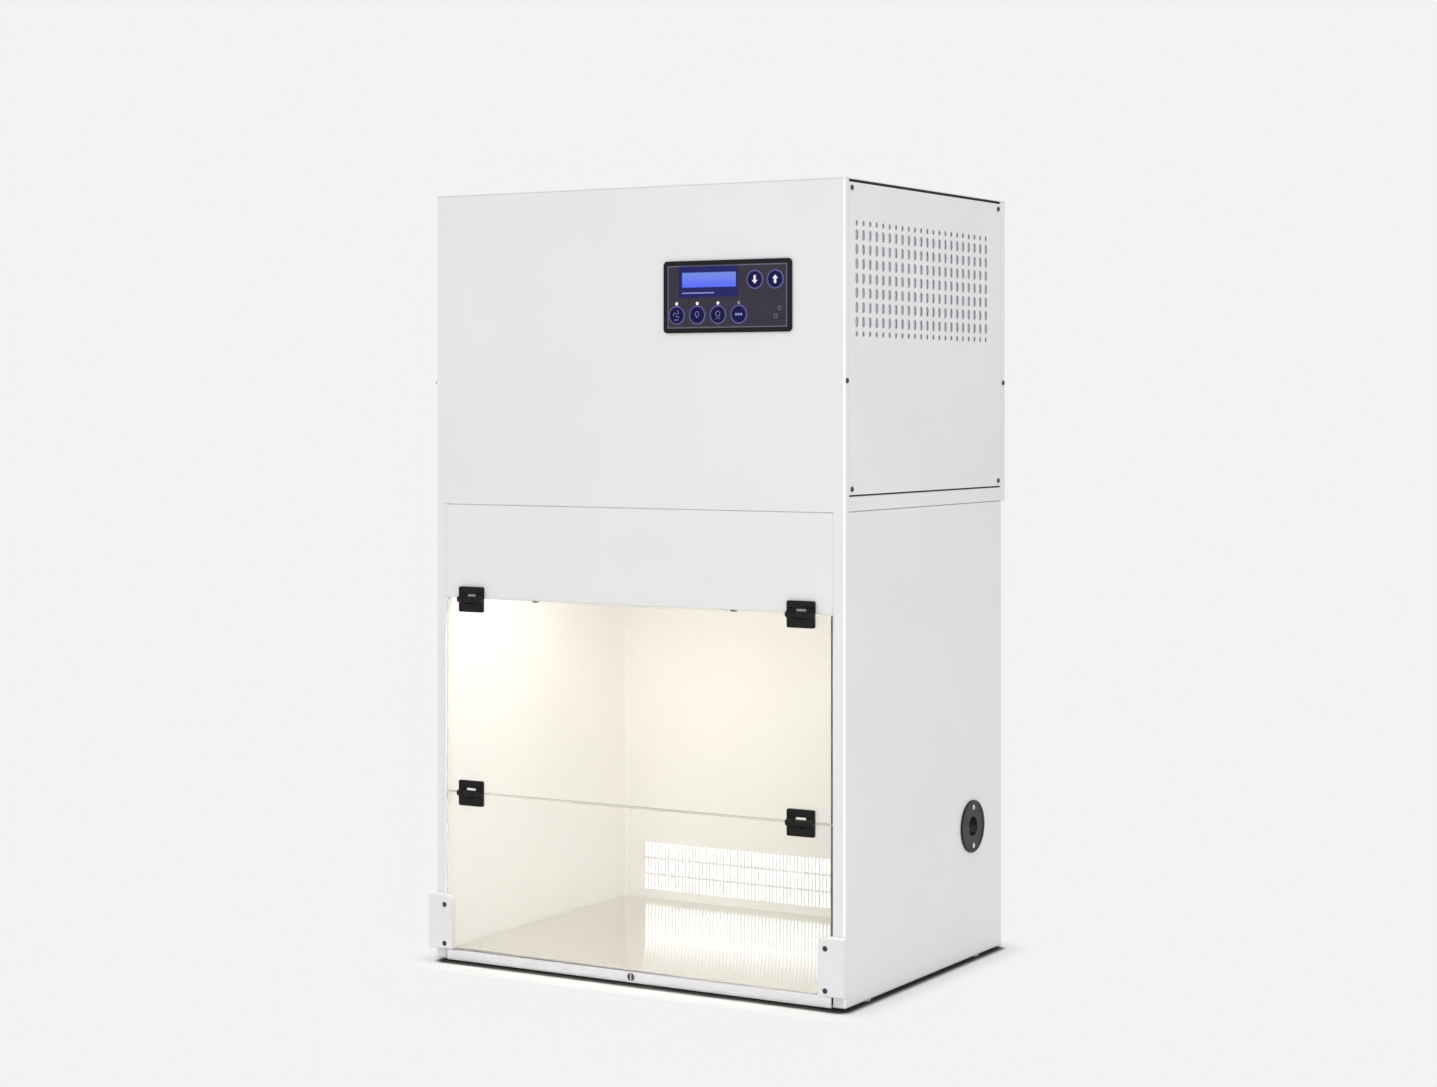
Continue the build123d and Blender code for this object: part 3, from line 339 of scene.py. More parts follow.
@dataclass(frozen=True)
class PowderCoat:
    """Baked powder paint: orange peel over faint clouds.

    Three optional tones are painted light: a painted highlight along the front bends, painted shade
    graded across the width (lighter on the left, darker on the right), and a colour of its own behind
    a depth.
    """

    name: str
    colour: Colour
    roughness: float = 0.42
    peel: float = 0.00006
    clouding: float = 0.03
    # painted highlight along the front bends: where the bends lie, how far the highlight reaches, its
    # colour
    bend_highlight_at: tuple[float, float] | None = None
    bend_highlight_reach: tuple[float, float] = (0.0020, 0.0034)
    bend_highlight_colour: Colour = (0.99, 0.99, 0.99)
    # painted shade graded across the width: this share lighter on the left and as much darker on the
    # right
    across: float = 0.0
    half_width: float = 0.33
    outside_y: float | None = None
    outside_colour: Colour = linear(233, 233, 233)
    outside_blend: float = 0.0001
    gloss_spread: float = 0.05
    cloud_scale: float = 6.0
    speck_scale: float = 1400.0
    peel_scales: tuple[float, float] = (520.0, 1700.0)
    shade_range: tuple[float, float] = (0.3, 0.7)

    def material(self) -> bpy.types.Material:
        """Builds the paint from clouds, specks and peel, then lays the optional painted light over
        it.
        """
        graph = NodeGraph(self.name)
        clouds = graph.noise(graph.place, self.cloud_scale, 3.0)
        specks = graph.noise(graph.place, self.speck_scale, 1.0)
        shade = graph.math("ADD", graph.math("MULTIPLY", clouds, 0.8),
                           graph.math("MULTIPLY", specks, 0.2))
        dark = darker(self.colour, self.clouding)
        broad, fine = self.peel_scales
        peel = graph.math("ADD", graph.noise(graph.place, broad, 2.0),
                          graph.math("MULTIPLY", graph.noise(graph.place, fine, 1.0), 0.35))
        colour = graph.mixed(graph.between(shade, *self.shade_range), dark, self.colour)
        axes = graph.axes()
        # painted shade graded across the width, lighter on the left and darker on the right
        if self.across:
            wide = graph.between(axes[0], -self.half_width, self.half_width)
            tones = [graph.mixed(wide, *(tuple(min(1.0, c * k * (1 + side * self.across))
                                               for c in self.colour) for side in (1, -1)))
                     for k in (1 - self.clouding, 1.0)]
            colour = graph.mixed(graph.between(shade, *self.shade_range), *tones)
        # behind this depth the sheet's outer face takes a colour of its own instead of the painted
        # shade
        if self.outside_y is not None:
            behind = graph.between(axes[1], self.outside_y,
                                   self.outside_y + self.outside_blend)
            colour = graph.mixed(behind, colour, self.outside_colour)
        # painted highlight: the colour turns near white close to the front bends
        if self.bend_highlight_at:
            away = graph.ring(graph.math("ABSOLUTE", axes[0]), axes[1],
                              self.bend_highlight_at)
            colour = graph.mixed(graph.between(away, *self.bend_highlight_reach, 1.0, 0.0), colour,
                                 self.bend_highlight_colour)
        graph.shader(Base_Color=colour,
                     Roughness=graph.between(clouds, 0.2, 0.8, self.roughness - self.gloss_spread,
                                             self.roughness + self.gloss_spread),
                     Specular_IOR_Level=0.4, Normal=graph.bump(peel, self.peel, 0.5))
        return graph.material


@dataclass(frozen=True)
class BrushedSteel:
    """Stainless sheet brushed along the hood's width, so its reflections streak towards the user."""

    name: str
    colour: Colour
    roughness: float = 0.22
    grooves: float = 0.00002
    anisotropy: float = 0.75
    smear: float = 0.08
    mottle: float = 0.2
    fine_stretch: Point = (14.0, 2600.0, 2600.0)
    broad_stretch: Point = (3.0, 240.0, 240.0)

    def material(self) -> bpy.types.Material:
        """Builds the brushed metal from noise drawn out along the width."""
        graph = NodeGraph(self.name)
        fine = graph.noise(graph.stretched(self.fine_stretch), 1.0, 3.0, 0.6)
        broad = graph.noise(graph.stretched(self.broad_stretch), 1.0, 2.0)
        smudge = graph.noise(graph.place, 9.0, 4.0)
        grain = graph.math("ADD", graph.math("MULTIPLY", fine, 0.7),
                           graph.math("MULTIPLY", broad, 0.3))
        dark = darker(self.colour, self.smear)
        spread = self.roughness * self.mottle
        rough = graph.math("ADD", graph.between(grain, 0.3, 0.7, self.roughness - spread,
                                                self.roughness + spread),
                           graph.between(smudge, 0.45, 0.75, 0.0, spread))
        along = graph.node("ShaderNodeCombineXYZ")
        along.inputs[1].default_value = 1.0
        graph.shader(Base_Color=graph.mixed(graph.between(grain, 0.3, 0.7), dark, self.colour),
                     Metallic=1.0, Roughness=rough, Anisotropic=self.anisotropy,
                     Tangent=along.outputs[0], Normal=graph.bump(grain, self.grooves, 0.6))
        return graph.material


@dataclass(frozen=True)
class SheetSteel:
    """Plain metal: zinc spangle, cast skin or polish, by the size and depth of its mottling."""

    name: str
    colour: Colour
    roughness: float
    mottle_scale: float = 60.0
    mottle: float = 0.12
    relief: float = 0.00002
    scratch_stretch: Point = (900.0, 60.0, 60.0)
    gloss_spread: float = 0.08

    def material(self) -> bpy.types.Material:
        """Builds the metal with cell-like mottling and fine scratches."""
        graph = NodeGraph(self.name)
        cells = graph.node("ShaderNodeTexVoronoi", feature="F1")
        cells.inputs["Scale"].default_value = self.mottle_scale
        graph.link(graph.place, cells.inputs["Vector"])
        tone = graph.node("ShaderNodeSeparateColor")
        graph.link(cells.outputs["Color"], tone.inputs[0])
        scratches = graph.noise(graph.stretched(self.scratch_stretch), 1.0, 3.0)
        shade = graph.math("ADD", graph.math("MULTIPLY", tone.outputs[0], 0.6),
                           graph.math("MULTIPLY", scratches, 0.4))
        dark = darker(self.colour, self.mottle)
        graph.shader(Base_Color=graph.mixed(shade, dark, self.colour), Metallic=1.0,
                     Roughness=graph.between(shade, 0.2, 0.8, self.roughness,
                                             self.roughness + self.gloss_spread),
                     Normal=graph.bump(scratches, self.relief, 0.4))
        return graph.material


@dataclass(frozen=True)
class ClearSheet:
    """Clear window sheet: almost colourless, glossy, with faint wipe marks."""

    name: str
    tint: Colour = (0.975, 0.98, 0.972)
    roughness: float = 0.015
    index: float = 1.49
    wipe_stretch: Point = (4.0, 4.0, 30.0)
    wipe_haze: float = 0.03

    def material(self) -> bpy.types.Material:
        """Builds the clear sheet. Light that feeds the chamber passes through it unbent."""
        graph = NodeGraph(self.name)
        wipes = graph.noise(graph.stretched(self.wipe_stretch), 1.0, 4.0)
        glass = graph.shader(Base_Color=self.tint, Transmission_Weight=1.0, IOR=self.index,
                             Roughness=graph.between(wipes, 0.5, 0.8, self.roughness,
                                                     self.roughness + self.wipe_haze))
        path = graph.node("ShaderNodeLightPath")
        through = graph.node("ShaderNodeBsdfTransparent")
        through.inputs[0].default_value = (*self.tint, 1.0)
        mix = graph.node("ShaderNodeMixShader")
        unseen = graph.math("MAXIMUM", path.outputs["Is Shadow Ray"],
                            path.outputs["Is Diffuse Ray"])
        graph.link(unseen, mix.inputs[0])
        graph.link(glass.outputs[0], mix.inputs[1])
        graph.link(through.outputs[0], mix.inputs[2])
        graph.link(mix.outputs[0], graph.output.inputs["Surface"])
        return graph.material


@dataclass(frozen=True)
class MouldedPlastic:
    """Injection-moulded plastic or rubber with a fine spark-eroded grain."""

    name: str
    colour: Colour
    roughness: float = 0.4
    grain_scale: float = 1500.0
    grain: float = 0.00003
    variation: float = 0.15
    specular: float = 0.5
    tone_scale: float = 45.0
    gloss_range: tuple[float, float] = (-0.04, 0.06)

    def material(self) -> bpy.types.Material:
        """Builds the plastic from grain and slow changes of tone."""
        graph = NodeGraph(self.name)
        grain = graph.noise(graph.place, self.grain_scale, 2.0)
        tone = graph.noise(graph.place, self.tone_scale, 3.0)
        shade = graph.math("ADD", graph.math("MULTIPLY", tone, 0.7),
                           graph.math("MULTIPLY", grain, 0.3))
        dark = darker(self.colour, self.variation)
        graph.shader(Base_Color=graph.mixed(graph.between(shade, 0.3, 0.7), dark, self.colour),
                     Roughness=graph.between(tone, 0.3, 0.7,
                                             *(self.roughness + step for step in self.gloss_range)),
                     Specular_IOR_Level=self.specular, Normal=graph.bump(grain, self.grain, 0.6))
        return graph.material


@dataclass(frozen=True)
class PleatedPaper:
    """Filter paper or foam: soft fibres, and where it is pleated, folds drawn as painted shade."""

    name: str
    colour: Colour
    fold_pitch: float = 0.0
    fibre: float = 0.0003
    fibre_stretch: Point = (900.0, 1400.0, 400.0)
    # share of the colour kept in the darkest fibres and in the fold valleys, whose darkening is
    # painted shade
    grain_and_fold_shade_tone: float = 0.62

    def material(self) -> bpy.types.Material:
        """Builds the paper from crossed fibres and, if it has a pitch, fold valleys in painted shade.
        """
        graph = NodeGraph(self.name)
        fibres = graph.noise(graph.stretched(self.fibre_stretch), 1.0, 4.0, 0.7)
        shade = graph.between(fibres, 0.25, 0.75)
        if self.fold_pitch:
            axes = graph.axes()
            wave = graph.math("SINE", graph.math("MULTIPLY", axes[1],
                                                 2 * math.pi / self.fold_pitch))
            # painted shade: the fold valleys are darkened
            shade = graph.math("MULTIPLY", shade, graph.between(wave, -1.0, 0.2, 0.35, 1.0))
        dark = tuple(c * self.grain_and_fold_shade_tone for c in self.colour)
        graph.shader(Base_Color=graph.mixed(shade, dark, self.colour), Roughness=0.9,
                     Specular_IOR_Level=0.2, Sheen_Weight=0.15,
                     Normal=graph.bump(fibres, self.fibre, 0.6))
        return graph.material


@dataclass(frozen=True)
class GlowTube:
    """Fluorescent lamp glass, bright along its length and dimmer at its grey ends."""

    name: str
    colour: Colour
    strength: float
    half_length: float
    fade: tuple[float, float] = (0.035, 0.010)
    end_glow: float = 0.12
    phosphor: tuple[Colour, Colour] = ((0.78, 0.78, 0.74), (0.86, 0.86, 0.82))

    def material(self) -> bpy.types.Material:
        """Builds the tube: full glow, fading over the last few centimetres."""
        graph = NodeGraph(self.name)
        axes = graph.axes()
        reach = graph.math("ABSOLUTE", axes[0])
        body = graph.between(reach, *(self.half_length - end for end in self.fade), 1.0,
                             self.end_glow)
        grain = graph.noise(graph.place, 240.0, 3.0)
        white = graph.mixed(graph.between(grain, 0.3, 0.7), *self.phosphor)
        graph.shader(Base_Color=white, Roughness=0.18, Emission_Color=self.colour,
                     Emission_Strength=graph.math("MULTIPLY", body, self.strength))
        return graph.material


@dataclass(frozen=True)
class PrintedFilm:
    """Keypad film: a dark border, a thin pale line, a violet-grey field and two small marks.

    It also carries a violet ring round each key, a tone round each light, and a blue shade round the
    display's opening.
    """

    name: str
    centre: tuple[float, float]
    size: tuple[float, float]
    corner: float
    line_inset: float
    line_width: float
    window: tuple[tuple[float, float], tuple[float, float]]
    border: Colour = linear(14, 16, 22)
    line: Colour = linear(104, 102, 118)
    field_colour: Colour = linear(54, 49, 62)
    mark: Colour = linear(120, 116, 132)
    ring: Colour = linear(100, 94, 158)
    marks: tuple[tuple[float, float], ...] = ()
    keys: tuple[tuple[float, float], ...] = ()
    key_ring: tuple[float, float] = (12.2 * MM, 13.6 * MM)
    lights: tuple[tuple[float, float], ...] = ()
    light_radius: float = 2.3 * MM
    light_tones: tuple[float, ...] = (0.9, 0.9, 0.9, 0.28)
    soft: float = 0.3 * MM
    line_soft: float = 0.2 * MM
    shade: Colour = linear(34, 36, 88)
    shade_reach: float = 4.0 * MM
    circle_radius: float = 2.6 * MM
    square_size: float = 5.0 * MM

    def material(self) -> bpy.types.Material:
        """Builds the print from distances to outlines in the plane of the film."""
        graph = NodeGraph(self.name)
        x, _, z = graph.axes()
        edge = graph.rounded_box(x, z, self.centre, self.size, self.corner)
        line_at = graph.math("ABSOLUTE", graph.math("ADD", edge, self.line_inset))
        inside = graph.between(edge, -self.line_inset - self.line_soft,
                               -self.line_inset + self.line_soft, 1, 0)
        tone = graph.noise(graph.place, 30.0, 3.0)
        field_tone = graph.mixed(graph.between(tone, 0.3, 0.7),
                                 tuple(c * 0.86 for c in self.field_colour), self.field_colour)
        colour = graph.mixed(inside, self.border, field_tone)
        on_line = graph.between(line_at, self.line_width / 2 - self.line_soft,
                                self.line_width / 2 + self.line_soft, 1, 0)
        colour = graph.mixed(on_line, colour, self.line)
        round_window = graph.rounded_box(x, z, *self.window, 0.002)
        colour = graph.mixed(graph.between(round_window, 0.0, self.shade_reach, 0.75, 0.0), colour,
                             self.shade)
        round_at, square_at = self.marks
        circle = graph.math("ABSOLUTE", graph.math("SUBTRACT", graph.ring(x, z, round_at),
                                                   self.circle_radius))
        square = graph.math("ABSOLUTE", graph.rounded_box(x, z, square_at,
                                                          (self.square_size,) * 2, 0.0003))
        for shape in (circle, square):
            colour = graph.mixed(graph.between(shape, 0.0003, 0.0006, 1, 0), colour, self.mark)
        low, high = self.key_ring
        middle, half = (low + high) / 2, (high - low) / 2
        for key in self.keys:
            away = graph.math("ABSOLUTE", graph.math("SUBTRACT", graph.ring(x, z, key), middle))
            colour = graph.mixed(graph.between(away, half - self.soft, half + self.soft, 1, 0),
                                 colour, self.ring)
        for light, tone in zip(self.lights, self.light_tones):
            away = graph.ring(x, z, light)
            colour = graph.mixed(graph.between(away, self.light_radius - self.soft,
                                               self.light_radius + self.soft, 1, 0), colour,
                                 (tone,) * 3)
        grain = graph.noise(graph.place, 2600.0, 1.0)
        graph.shader(Base_Color=colour, Roughness=0.34, Specular_IOR_Level=0.2,
                     Normal=graph.bump(grain, 0.00001, 0.5))
        return graph.material


@dataclass(frozen=True)
class BacklitDisplay:
    """Blue two-line display: a lit field with a faint grid of cells over a navy glass."""

    name: str
    lit_centre: tuple[float, float]
    lit_size: tuple[float, float]
    dash_centre: tuple[float, float]
    dash_size: tuple[float, float]
    cell: tuple[float, float] = (0.00445, 0.0100)
    glass: Colour = linear(20, 22, 92)
    low: Colour = linear(88, 108, 250)
    high: Colour = linear(112, 138, 224)
    strength: float = 0.85
    grid_tone: float = 0.16
    dash_pitch: float = 3.1 * MM
    dash_colour: Colour = linear(176, 178, 226)
    unlit: Colour = (0.003, 0.003, 0.02)
    unlit_share: float = 0.85

    def material(self) -> bpy.types.Material:
        """Builds the display from distances to its lit field and a row of small dashes."""
        graph = NodeGraph(self.name)
        x, _, z = graph.axes()
        lit = graph.between(graph.rounded_box(x, z, self.lit_centre, self.lit_size, 0.0008),
                            -0.0006, 0.0006, 1, 0)
        height = graph.between(z, self.lit_centre[1] - self.lit_size[1] / 2,
                               self.lit_centre[1] + self.lit_size[1] / 2)
        colour = graph.mixed(height, self.low, self.high)
        gaps = []
        for value, pitch in zip((x, z), self.cell):
            part = graph.math("FRACT", graph.math("DIVIDE", value, pitch))
            gaps.append(graph.between(part, 0.82, 0.9, 0.0, 1.0))
        grid = graph.math("MULTIPLY", graph.math("MAXIMUM", *gaps), self.grid_tone)
        colour = graph.mixed(grid, colour, self.high)
        colour = graph.mixed(lit, self.glass, colour)
        dashes = graph.rounded_box(x, z, self.dash_centre, self.dash_size, 0.0003)
        breaks = graph.math("FRACT", graph.math("DIVIDE", x, self.dash_pitch))
        dash = graph.math("MULTIPLY", graph.between(dashes, -0.0002, 0.0003, 1, 0),
                          graph.between(breaks, 0.7, 0.8, 0.8, 0.25))
        colour = graph.mixed(dash, colour, self.dash_colour)
        graph.shader(Base_Color=graph.mixed(self.unlit_share, colour, self.unlit),
                     Roughness=0.12, Specular_IOR_Level=0.2, Emission_Color=colour,
                     Emission_Strength=self.strength)
        return graph.material


@dataclass(frozen=True)
class SmallLamp:
    """Frosted light lens with its own glow."""

    name: str
    colour: Colour
    strength: float

    def material(self) -> bpy.types.Material:
        """Builds the lens: glow mottled by the frosting."""
        graph = NodeGraph(self.name)
        frost = graph.noise(graph.place, 2200.0, 2.0)
        glow = graph.mixed(graph.between(frost, 0.3, 0.7), tuple(c * 0.85 for c in self.colour),
                           self.colour)
        graph.shader(Base_Color=glow, Roughness=0.35, Emission_Color=glow,
                     Emission_Strength=self.strength)
        return graph.material


class Finishes:
    """Every finish of the hood, built once and handed to the sub-assemblies by name."""

    def __init__(self) -> None:
        """Builds the finishes that more than one sub-assembly uses."""
        finishes = [
            PowderCoat("white_paint", linear(233, 233, 233),
                       bend_highlight_at=(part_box("side_wall_right")[1].x,
                                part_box("front_cover")[0].y)),
            PowderCoat("chamber_paint", (0.945, 0.93, 0.905), roughness=0.36, clouding=0.02),
            # rear wall paint: its colour is darker than the chamber paint and graded across the
            # width, both painted shade; behind the inner face it takes plain white
            PowderCoat("rear_paint_painted_shade", (0.75, 0.736, 0.708), roughness=0.36, clouding=0.02,
                       across=0.17, outside_y=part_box("rear_wall")[0].y + WITHIN_SHEET),
            BrushedSteel("brushed_worktop", (0.83, 0.82, 0.785), roughness=0.10, anisotropy=1.0,
                         grooves=0.0, smear=0.03, mottle=0.05),
            BrushedSteel("brushed_sill", (0.93, 0.92, 0.93), roughness=0.3, anisotropy=0.5),
            SheetSteel("zinc_sheet", (0.58, 0.59, 0.61), 0.42),
            SheetSteel("mill_aluminium", (0.76, 0.77, 0.78), 0.36, mottle=0.06),
            SheetSteel("bright_steel", (0.72, 0.71, 0.69), 0.2, mottle=0.08),
            SheetSteel("dark_steel", (0.10, 0.10, 0.11), 0.34),
            ClearSheet("clear_sheet"),
            MouldedPlastic("black_plastic", linear(20, 19, 20), roughness=0.36, variation=0.3,
                           specular=0.2),
            MouldedPlastic("white_plastic", linear(229, 229, 230), 0.35, variation=0.02),
            MouldedPlastic("black_rubber", linear(16, 16, 17), 0.6, specular=0.3),
            MouldedPlastic("pale_rubber", linear(196, 195, 190), 0.6, variation=0.06),
            MouldedPlastic("foot_rubber", linear(250, 250, 250), 0.6, variation=0.03),
            MouldedPlastic("clear_rubber", linear(246, 244, 236), 0.5, variation=0.03),
            MouldedPlastic("port_plastic", linear(32, 33, 37), 0.42, variation=0.25, specular=0.35),
            MouldedPlastic("motor_enamel", (0.02, 0.02, 0.025), 0.3),
            MouldedPlastic("board_lacquer", (0.01, 0.11, 0.045), 0.25, grain_scale=500.0,
                           variation=0.5),
            PleatedPaper("filter_paper", (0.80, 0.80, 0.77), fold_pitch=0.0036),
            PleatedPaper("pre_filter_cloth", linear(246, 246, 248)),
            PleatedPaper("intake_cloth", linear(216, 216, 228)),
            MouldedPlastic("key_navy", linear(14, 12, 72), 0.3, variation=0.25, specular=0.12),
            MouldedPlastic("key_ring", linear(100, 94, 158), 0.35, variation=0.1),
            MouldedPlastic("icon_white", linear(236, 236, 250), 0.45, variation=0.02),
            MouldedPlastic("icon_violet", linear(150, 148, 214), 0.45, variation=0.08),
        ]
        self.made: dict[str, bpy.types.Material] = {f.name: f.material() for f in finishes}

    def add(self, finish: object) -> str:
        """Builds one more finish.

        Args:
            finish: Finish with a name and a material method.

        Returns:
            Its name.
        """
        self.made[finish.name] = finish.material()
        return finish.name

    def dress(self, finish: str, *nodes: str) -> None:
        """Puts a finish on CAD nodes by way of their material slots.

        Args:
            finish: Name of the finish.
            nodes: Names of the nodes.
        """
        for node in nodes:
            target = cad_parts[node]
            target.data.materials.clear()
            target.data.materials.append(self.made[finish])
            LOG.info("dressed %s in %s", node, finish)


# --- surfaces -----------------------------------------------------------------------------------


def rounded_outline(width: float, height: float, corner: float | Array, steps: int = 6) -> Array:
    """Outline of a rounded rectangle, anticlockwise.

    Each corner is a quarter turn of points at the corner radius round the corner's centre, which
    stands in from the two sides by that radius.

    Args:
        width: Full width.
        height: Full height.
        corner: Corner radius, or four radii from the upper right corner onwards.
        steps: Intervals in each quarter turn.

    Returns:
        Array of 4 * (steps + 1) points.
    """
    turn = np.linspace(0, math.pi / 2, steps + 1)
    start = np.arange(4)[:, None] * math.pi / 2 + turn[None, :]
    sides = np.array([[1, 1], [-1, 1], [-1, -1], [1, -1]])[:, None, :]
    radii = np.broadcast_to(np.asarray(corner, float), 4)[:, None, None]
    centres = sides * (np.array([width / 2, height / 2]) - radii)
    arcs = radii * np.stack([np.cos(start), np.sin(start)], axis=-1)
    return (centres + arcs).reshape(-1, 2)


def quarter_round(edge: float, steps: int = 4) -> Array:
    """Inset and drop along a quarter-round edge.

    The inset is the edge less the edge times the cosine, and the drop is the edge times the sine
    less the edge.

    Args:
        edge: Radius of the edge.
        steps: Intervals in the quarter turn.

    Returns:
        Array of inset, drop.
    """
    turn = np.linspace(0, math.pi / 2, steps + 1)
    return np.stack([edge * (1 - np.cos(turn)), edge * (np.sin(turn) - 1)], axis=-1)


@dataclass
class Surface:
    """Points and faces of one piece while it is worked out."""

    blocks: list[Array] = field(default_factory=list)
    faces: list[list[int]] = field(default_factory=list)
    count: int = 0

    def grid(self, points: Array, close_rows: bool = False, close_columns: bool = False) -> None:
        """Adds a sheet of quads over a grid of points.

        Args:
            points: Array of rows by columns by 3.
            close_rows: Joins the last row to the first.
            close_columns: Joins the last column to the first.
        """
        rows, columns = points.shape[:2]
        index = np.arange(rows * columns).reshape(rows, columns) + self.count
        if close_rows:
            index = np.vstack([index, index[:1]])
        if close_columns:
            index = np.hstack([index, index[:, :1]])
        quads = np.stack([index[:-1, :-1], index[1:, :-1], index[1:, 1:], index[:-1, 1:]], axis=-1)
        self.blocks.append(points.reshape(-1, 3))
        self.faces += quads.reshape(-1, 4).tolist()
        self.count += rows * columns

    def cap(self, points: Array) -> None:
        """Adds one flat face.

        Args:
            points: Array of the loop's points, in order.
        """
        self.blocks.append(points)
        self.faces.append(list(range(self.count, self.count + len(points))))
        self.count += len(points)

    def turned(self, profile: Array, facing: Facing, seat: Point, segments: int = 32,
               start: float = 0.0) -> None:
        """Adds a turned form: a profile of radius and height carried round the outward axis.

        Args:
            profile: Array of radius, height. It starts and ends on the axis for a closed form.
            facing: Direction of the axis.
            seat: Point on the axis at height zero.
            segments: Intervals round the axis.
            start: Angle of the first interval.
        """
        turn = start + np.arange(segments) * 2 * math.pi / segments
        radius, height = np.asarray(profile, float).T
        ring = np.stack([np.cos(turn), np.sin(turn)], axis=-1)
        points = np.concatenate([radius[:, None, None] * ring[None], np.broadcast_to(
            height[:, None, None], (len(radius), segments, 1))], axis=-1)
        self.grid(facing.place(points, seat), close_columns=True)

    def pad(self, width: float, height: float, corner: float | Array, depth: float, edge: float,
            facing: Facing, seat: Point, back_edge: float = 0.0, steps: int = 6) -> None:
        """Adds a rounded plate: a rounded rectangle carried outwards, then rounded over.

        Its sections are the outline drawn in by the inset of a quarter round as it nears the face.

        Args:
            width: Full width.
            height: Full height.
            corner: Corner radius of the outline.
            depth: Full thickness, outwards from the seat.
            edge: Radius of the rounded front edge.
            facing: Side that the plate looks out of.
            seat: Middle of the back face.
            back_edge: Radius of the rounded back edge.
            steps: Intervals in each corner.
        """
        front = quarter_round(edge) + [0, depth]
        back = (quarter_round(back_edge) * [1, -1])[::-1] if back_edge else np.array([[0, 0]])
        rings = []
        for inset, rise in np.vstack([back, front]):
            outline = rounded_outline(width - 2 * inset, height - 2 * inset,
                                      np.maximum(np.asarray(corner) - inset, 1e-5), steps)
            rings.append(np.column_stack([outline, np.full(len(outline), rise)]))
        points = facing.place(np.stack(rings), seat)
        self.grid(points, close_columns=True)
        self.cap(points[-1])
        self.cap(points[0][::-1])

    def prism(self, outline: Array, depth: float, facing: Facing, seat: Point) -> None:
        """Adds a flat shape of even thickness: its outline at height zero and at the depth.

        Args:
            outline: Array of right, up points, in order.
            depth: Thickness, outwards from the seat.
            facing: Side that the shape looks out of.
            seat: Local origin of its back face.
        """
        lifts = np.array([0.0, depth])
        rings = np.stack([np.column_stack([outline, np.full(len(outline), lift)])
                          for lift in lifts])
        points = facing.place(rings, seat)
        self.grid(points, close_columns=True)
        self.cap(points[1])
        self.cap(points[0][::-1])

    def tube(self, path: Array, radius: float, facing: Facing, seat: Point,
             sides: int = 10) -> None:
        """Adds a round bar along a flat path, closed at both ends.

        Each ring stands across the path: its points are the radius times the cosine along the
        path's left-hand normal plus the radius times the sine outwards.

        Args:
            path: Array of right, up points.
            radius: Radius of the bar.
            facing: Side that the path's plane looks out of.
            seat: Local origin.
            sides: Points round the bar.
        """
        run = np.gradient(path, axis=0)
        run /= np.linalg.norm(run, axis=1, keepdims=True)
        across = np.column_stack([-run[:, 1], run[:, 0]])
        turn = np.arange(sides) * 2 * math.pi / sides
        flat = path[:, None, :] + radius * np.cos(turn)[None, :, None] * across[:, None, :]
        lift = np.broadcast_to(radius * np.sin(turn)[None, :, None], flat.shape[:2] + (1,))
        points = facing.place(np.concatenate([flat, lift], axis=-1), seat)
        self.grid(points, close_columns=True)
        self.cap(points[0])
        self.cap(points[-1][::-1])

    def piece(self, name: str, body: str, material: bpy.types.Material, slot: str,
              replaces: tuple[str, ...] = (), angle: float = 35.0) -> bpy.types.Object:
        """Makes the piece, joins its seams and poles, and seats it on its body.

        Args:
            name: Name of the piece.
            body: Body that it moves with.
            material: Its finish.
            slot: Material slot of the record. Not used.
            replaces: CAD nodes that it stands for.
            angle: Edges sharper than this many degrees stay crisp.

        Returns:
            The finished object.
        """
        mesh = bpy.data.meshes.new(name)
        mesh.from_pydata(np.concatenate(self.blocks).tolist(), [], self.faces)
        work = bmesh.new()
        work.from_mesh(mesh)
        bmesh.ops.remove_doubles(work, verts=work.verts, dist=2e-6)
        bmesh.ops.dissolve_degenerate(work, edges=work.edges, dist=1e-7)
        bmesh.ops.recalc_face_normals(work, faces=work.faces)
        work.to_mesh(mesh)
        work.free()
        mesh.shade_smooth()
        mesh.set_sharp_from_angle(angle=math.radians(angle))
        mesh.materials.append(material)
        made = bpy.data.objects.new(name, mesh)
        bpy.context.scene.collection.objects.link(made)
        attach(made, body)
        if replaces:
            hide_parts(*replaces)
        LOG.info("made %s on %s with %d faces", name, body, len(mesh.polygons))
        return made


# --- sub-assemblies -----------------------------------------------------------------------------


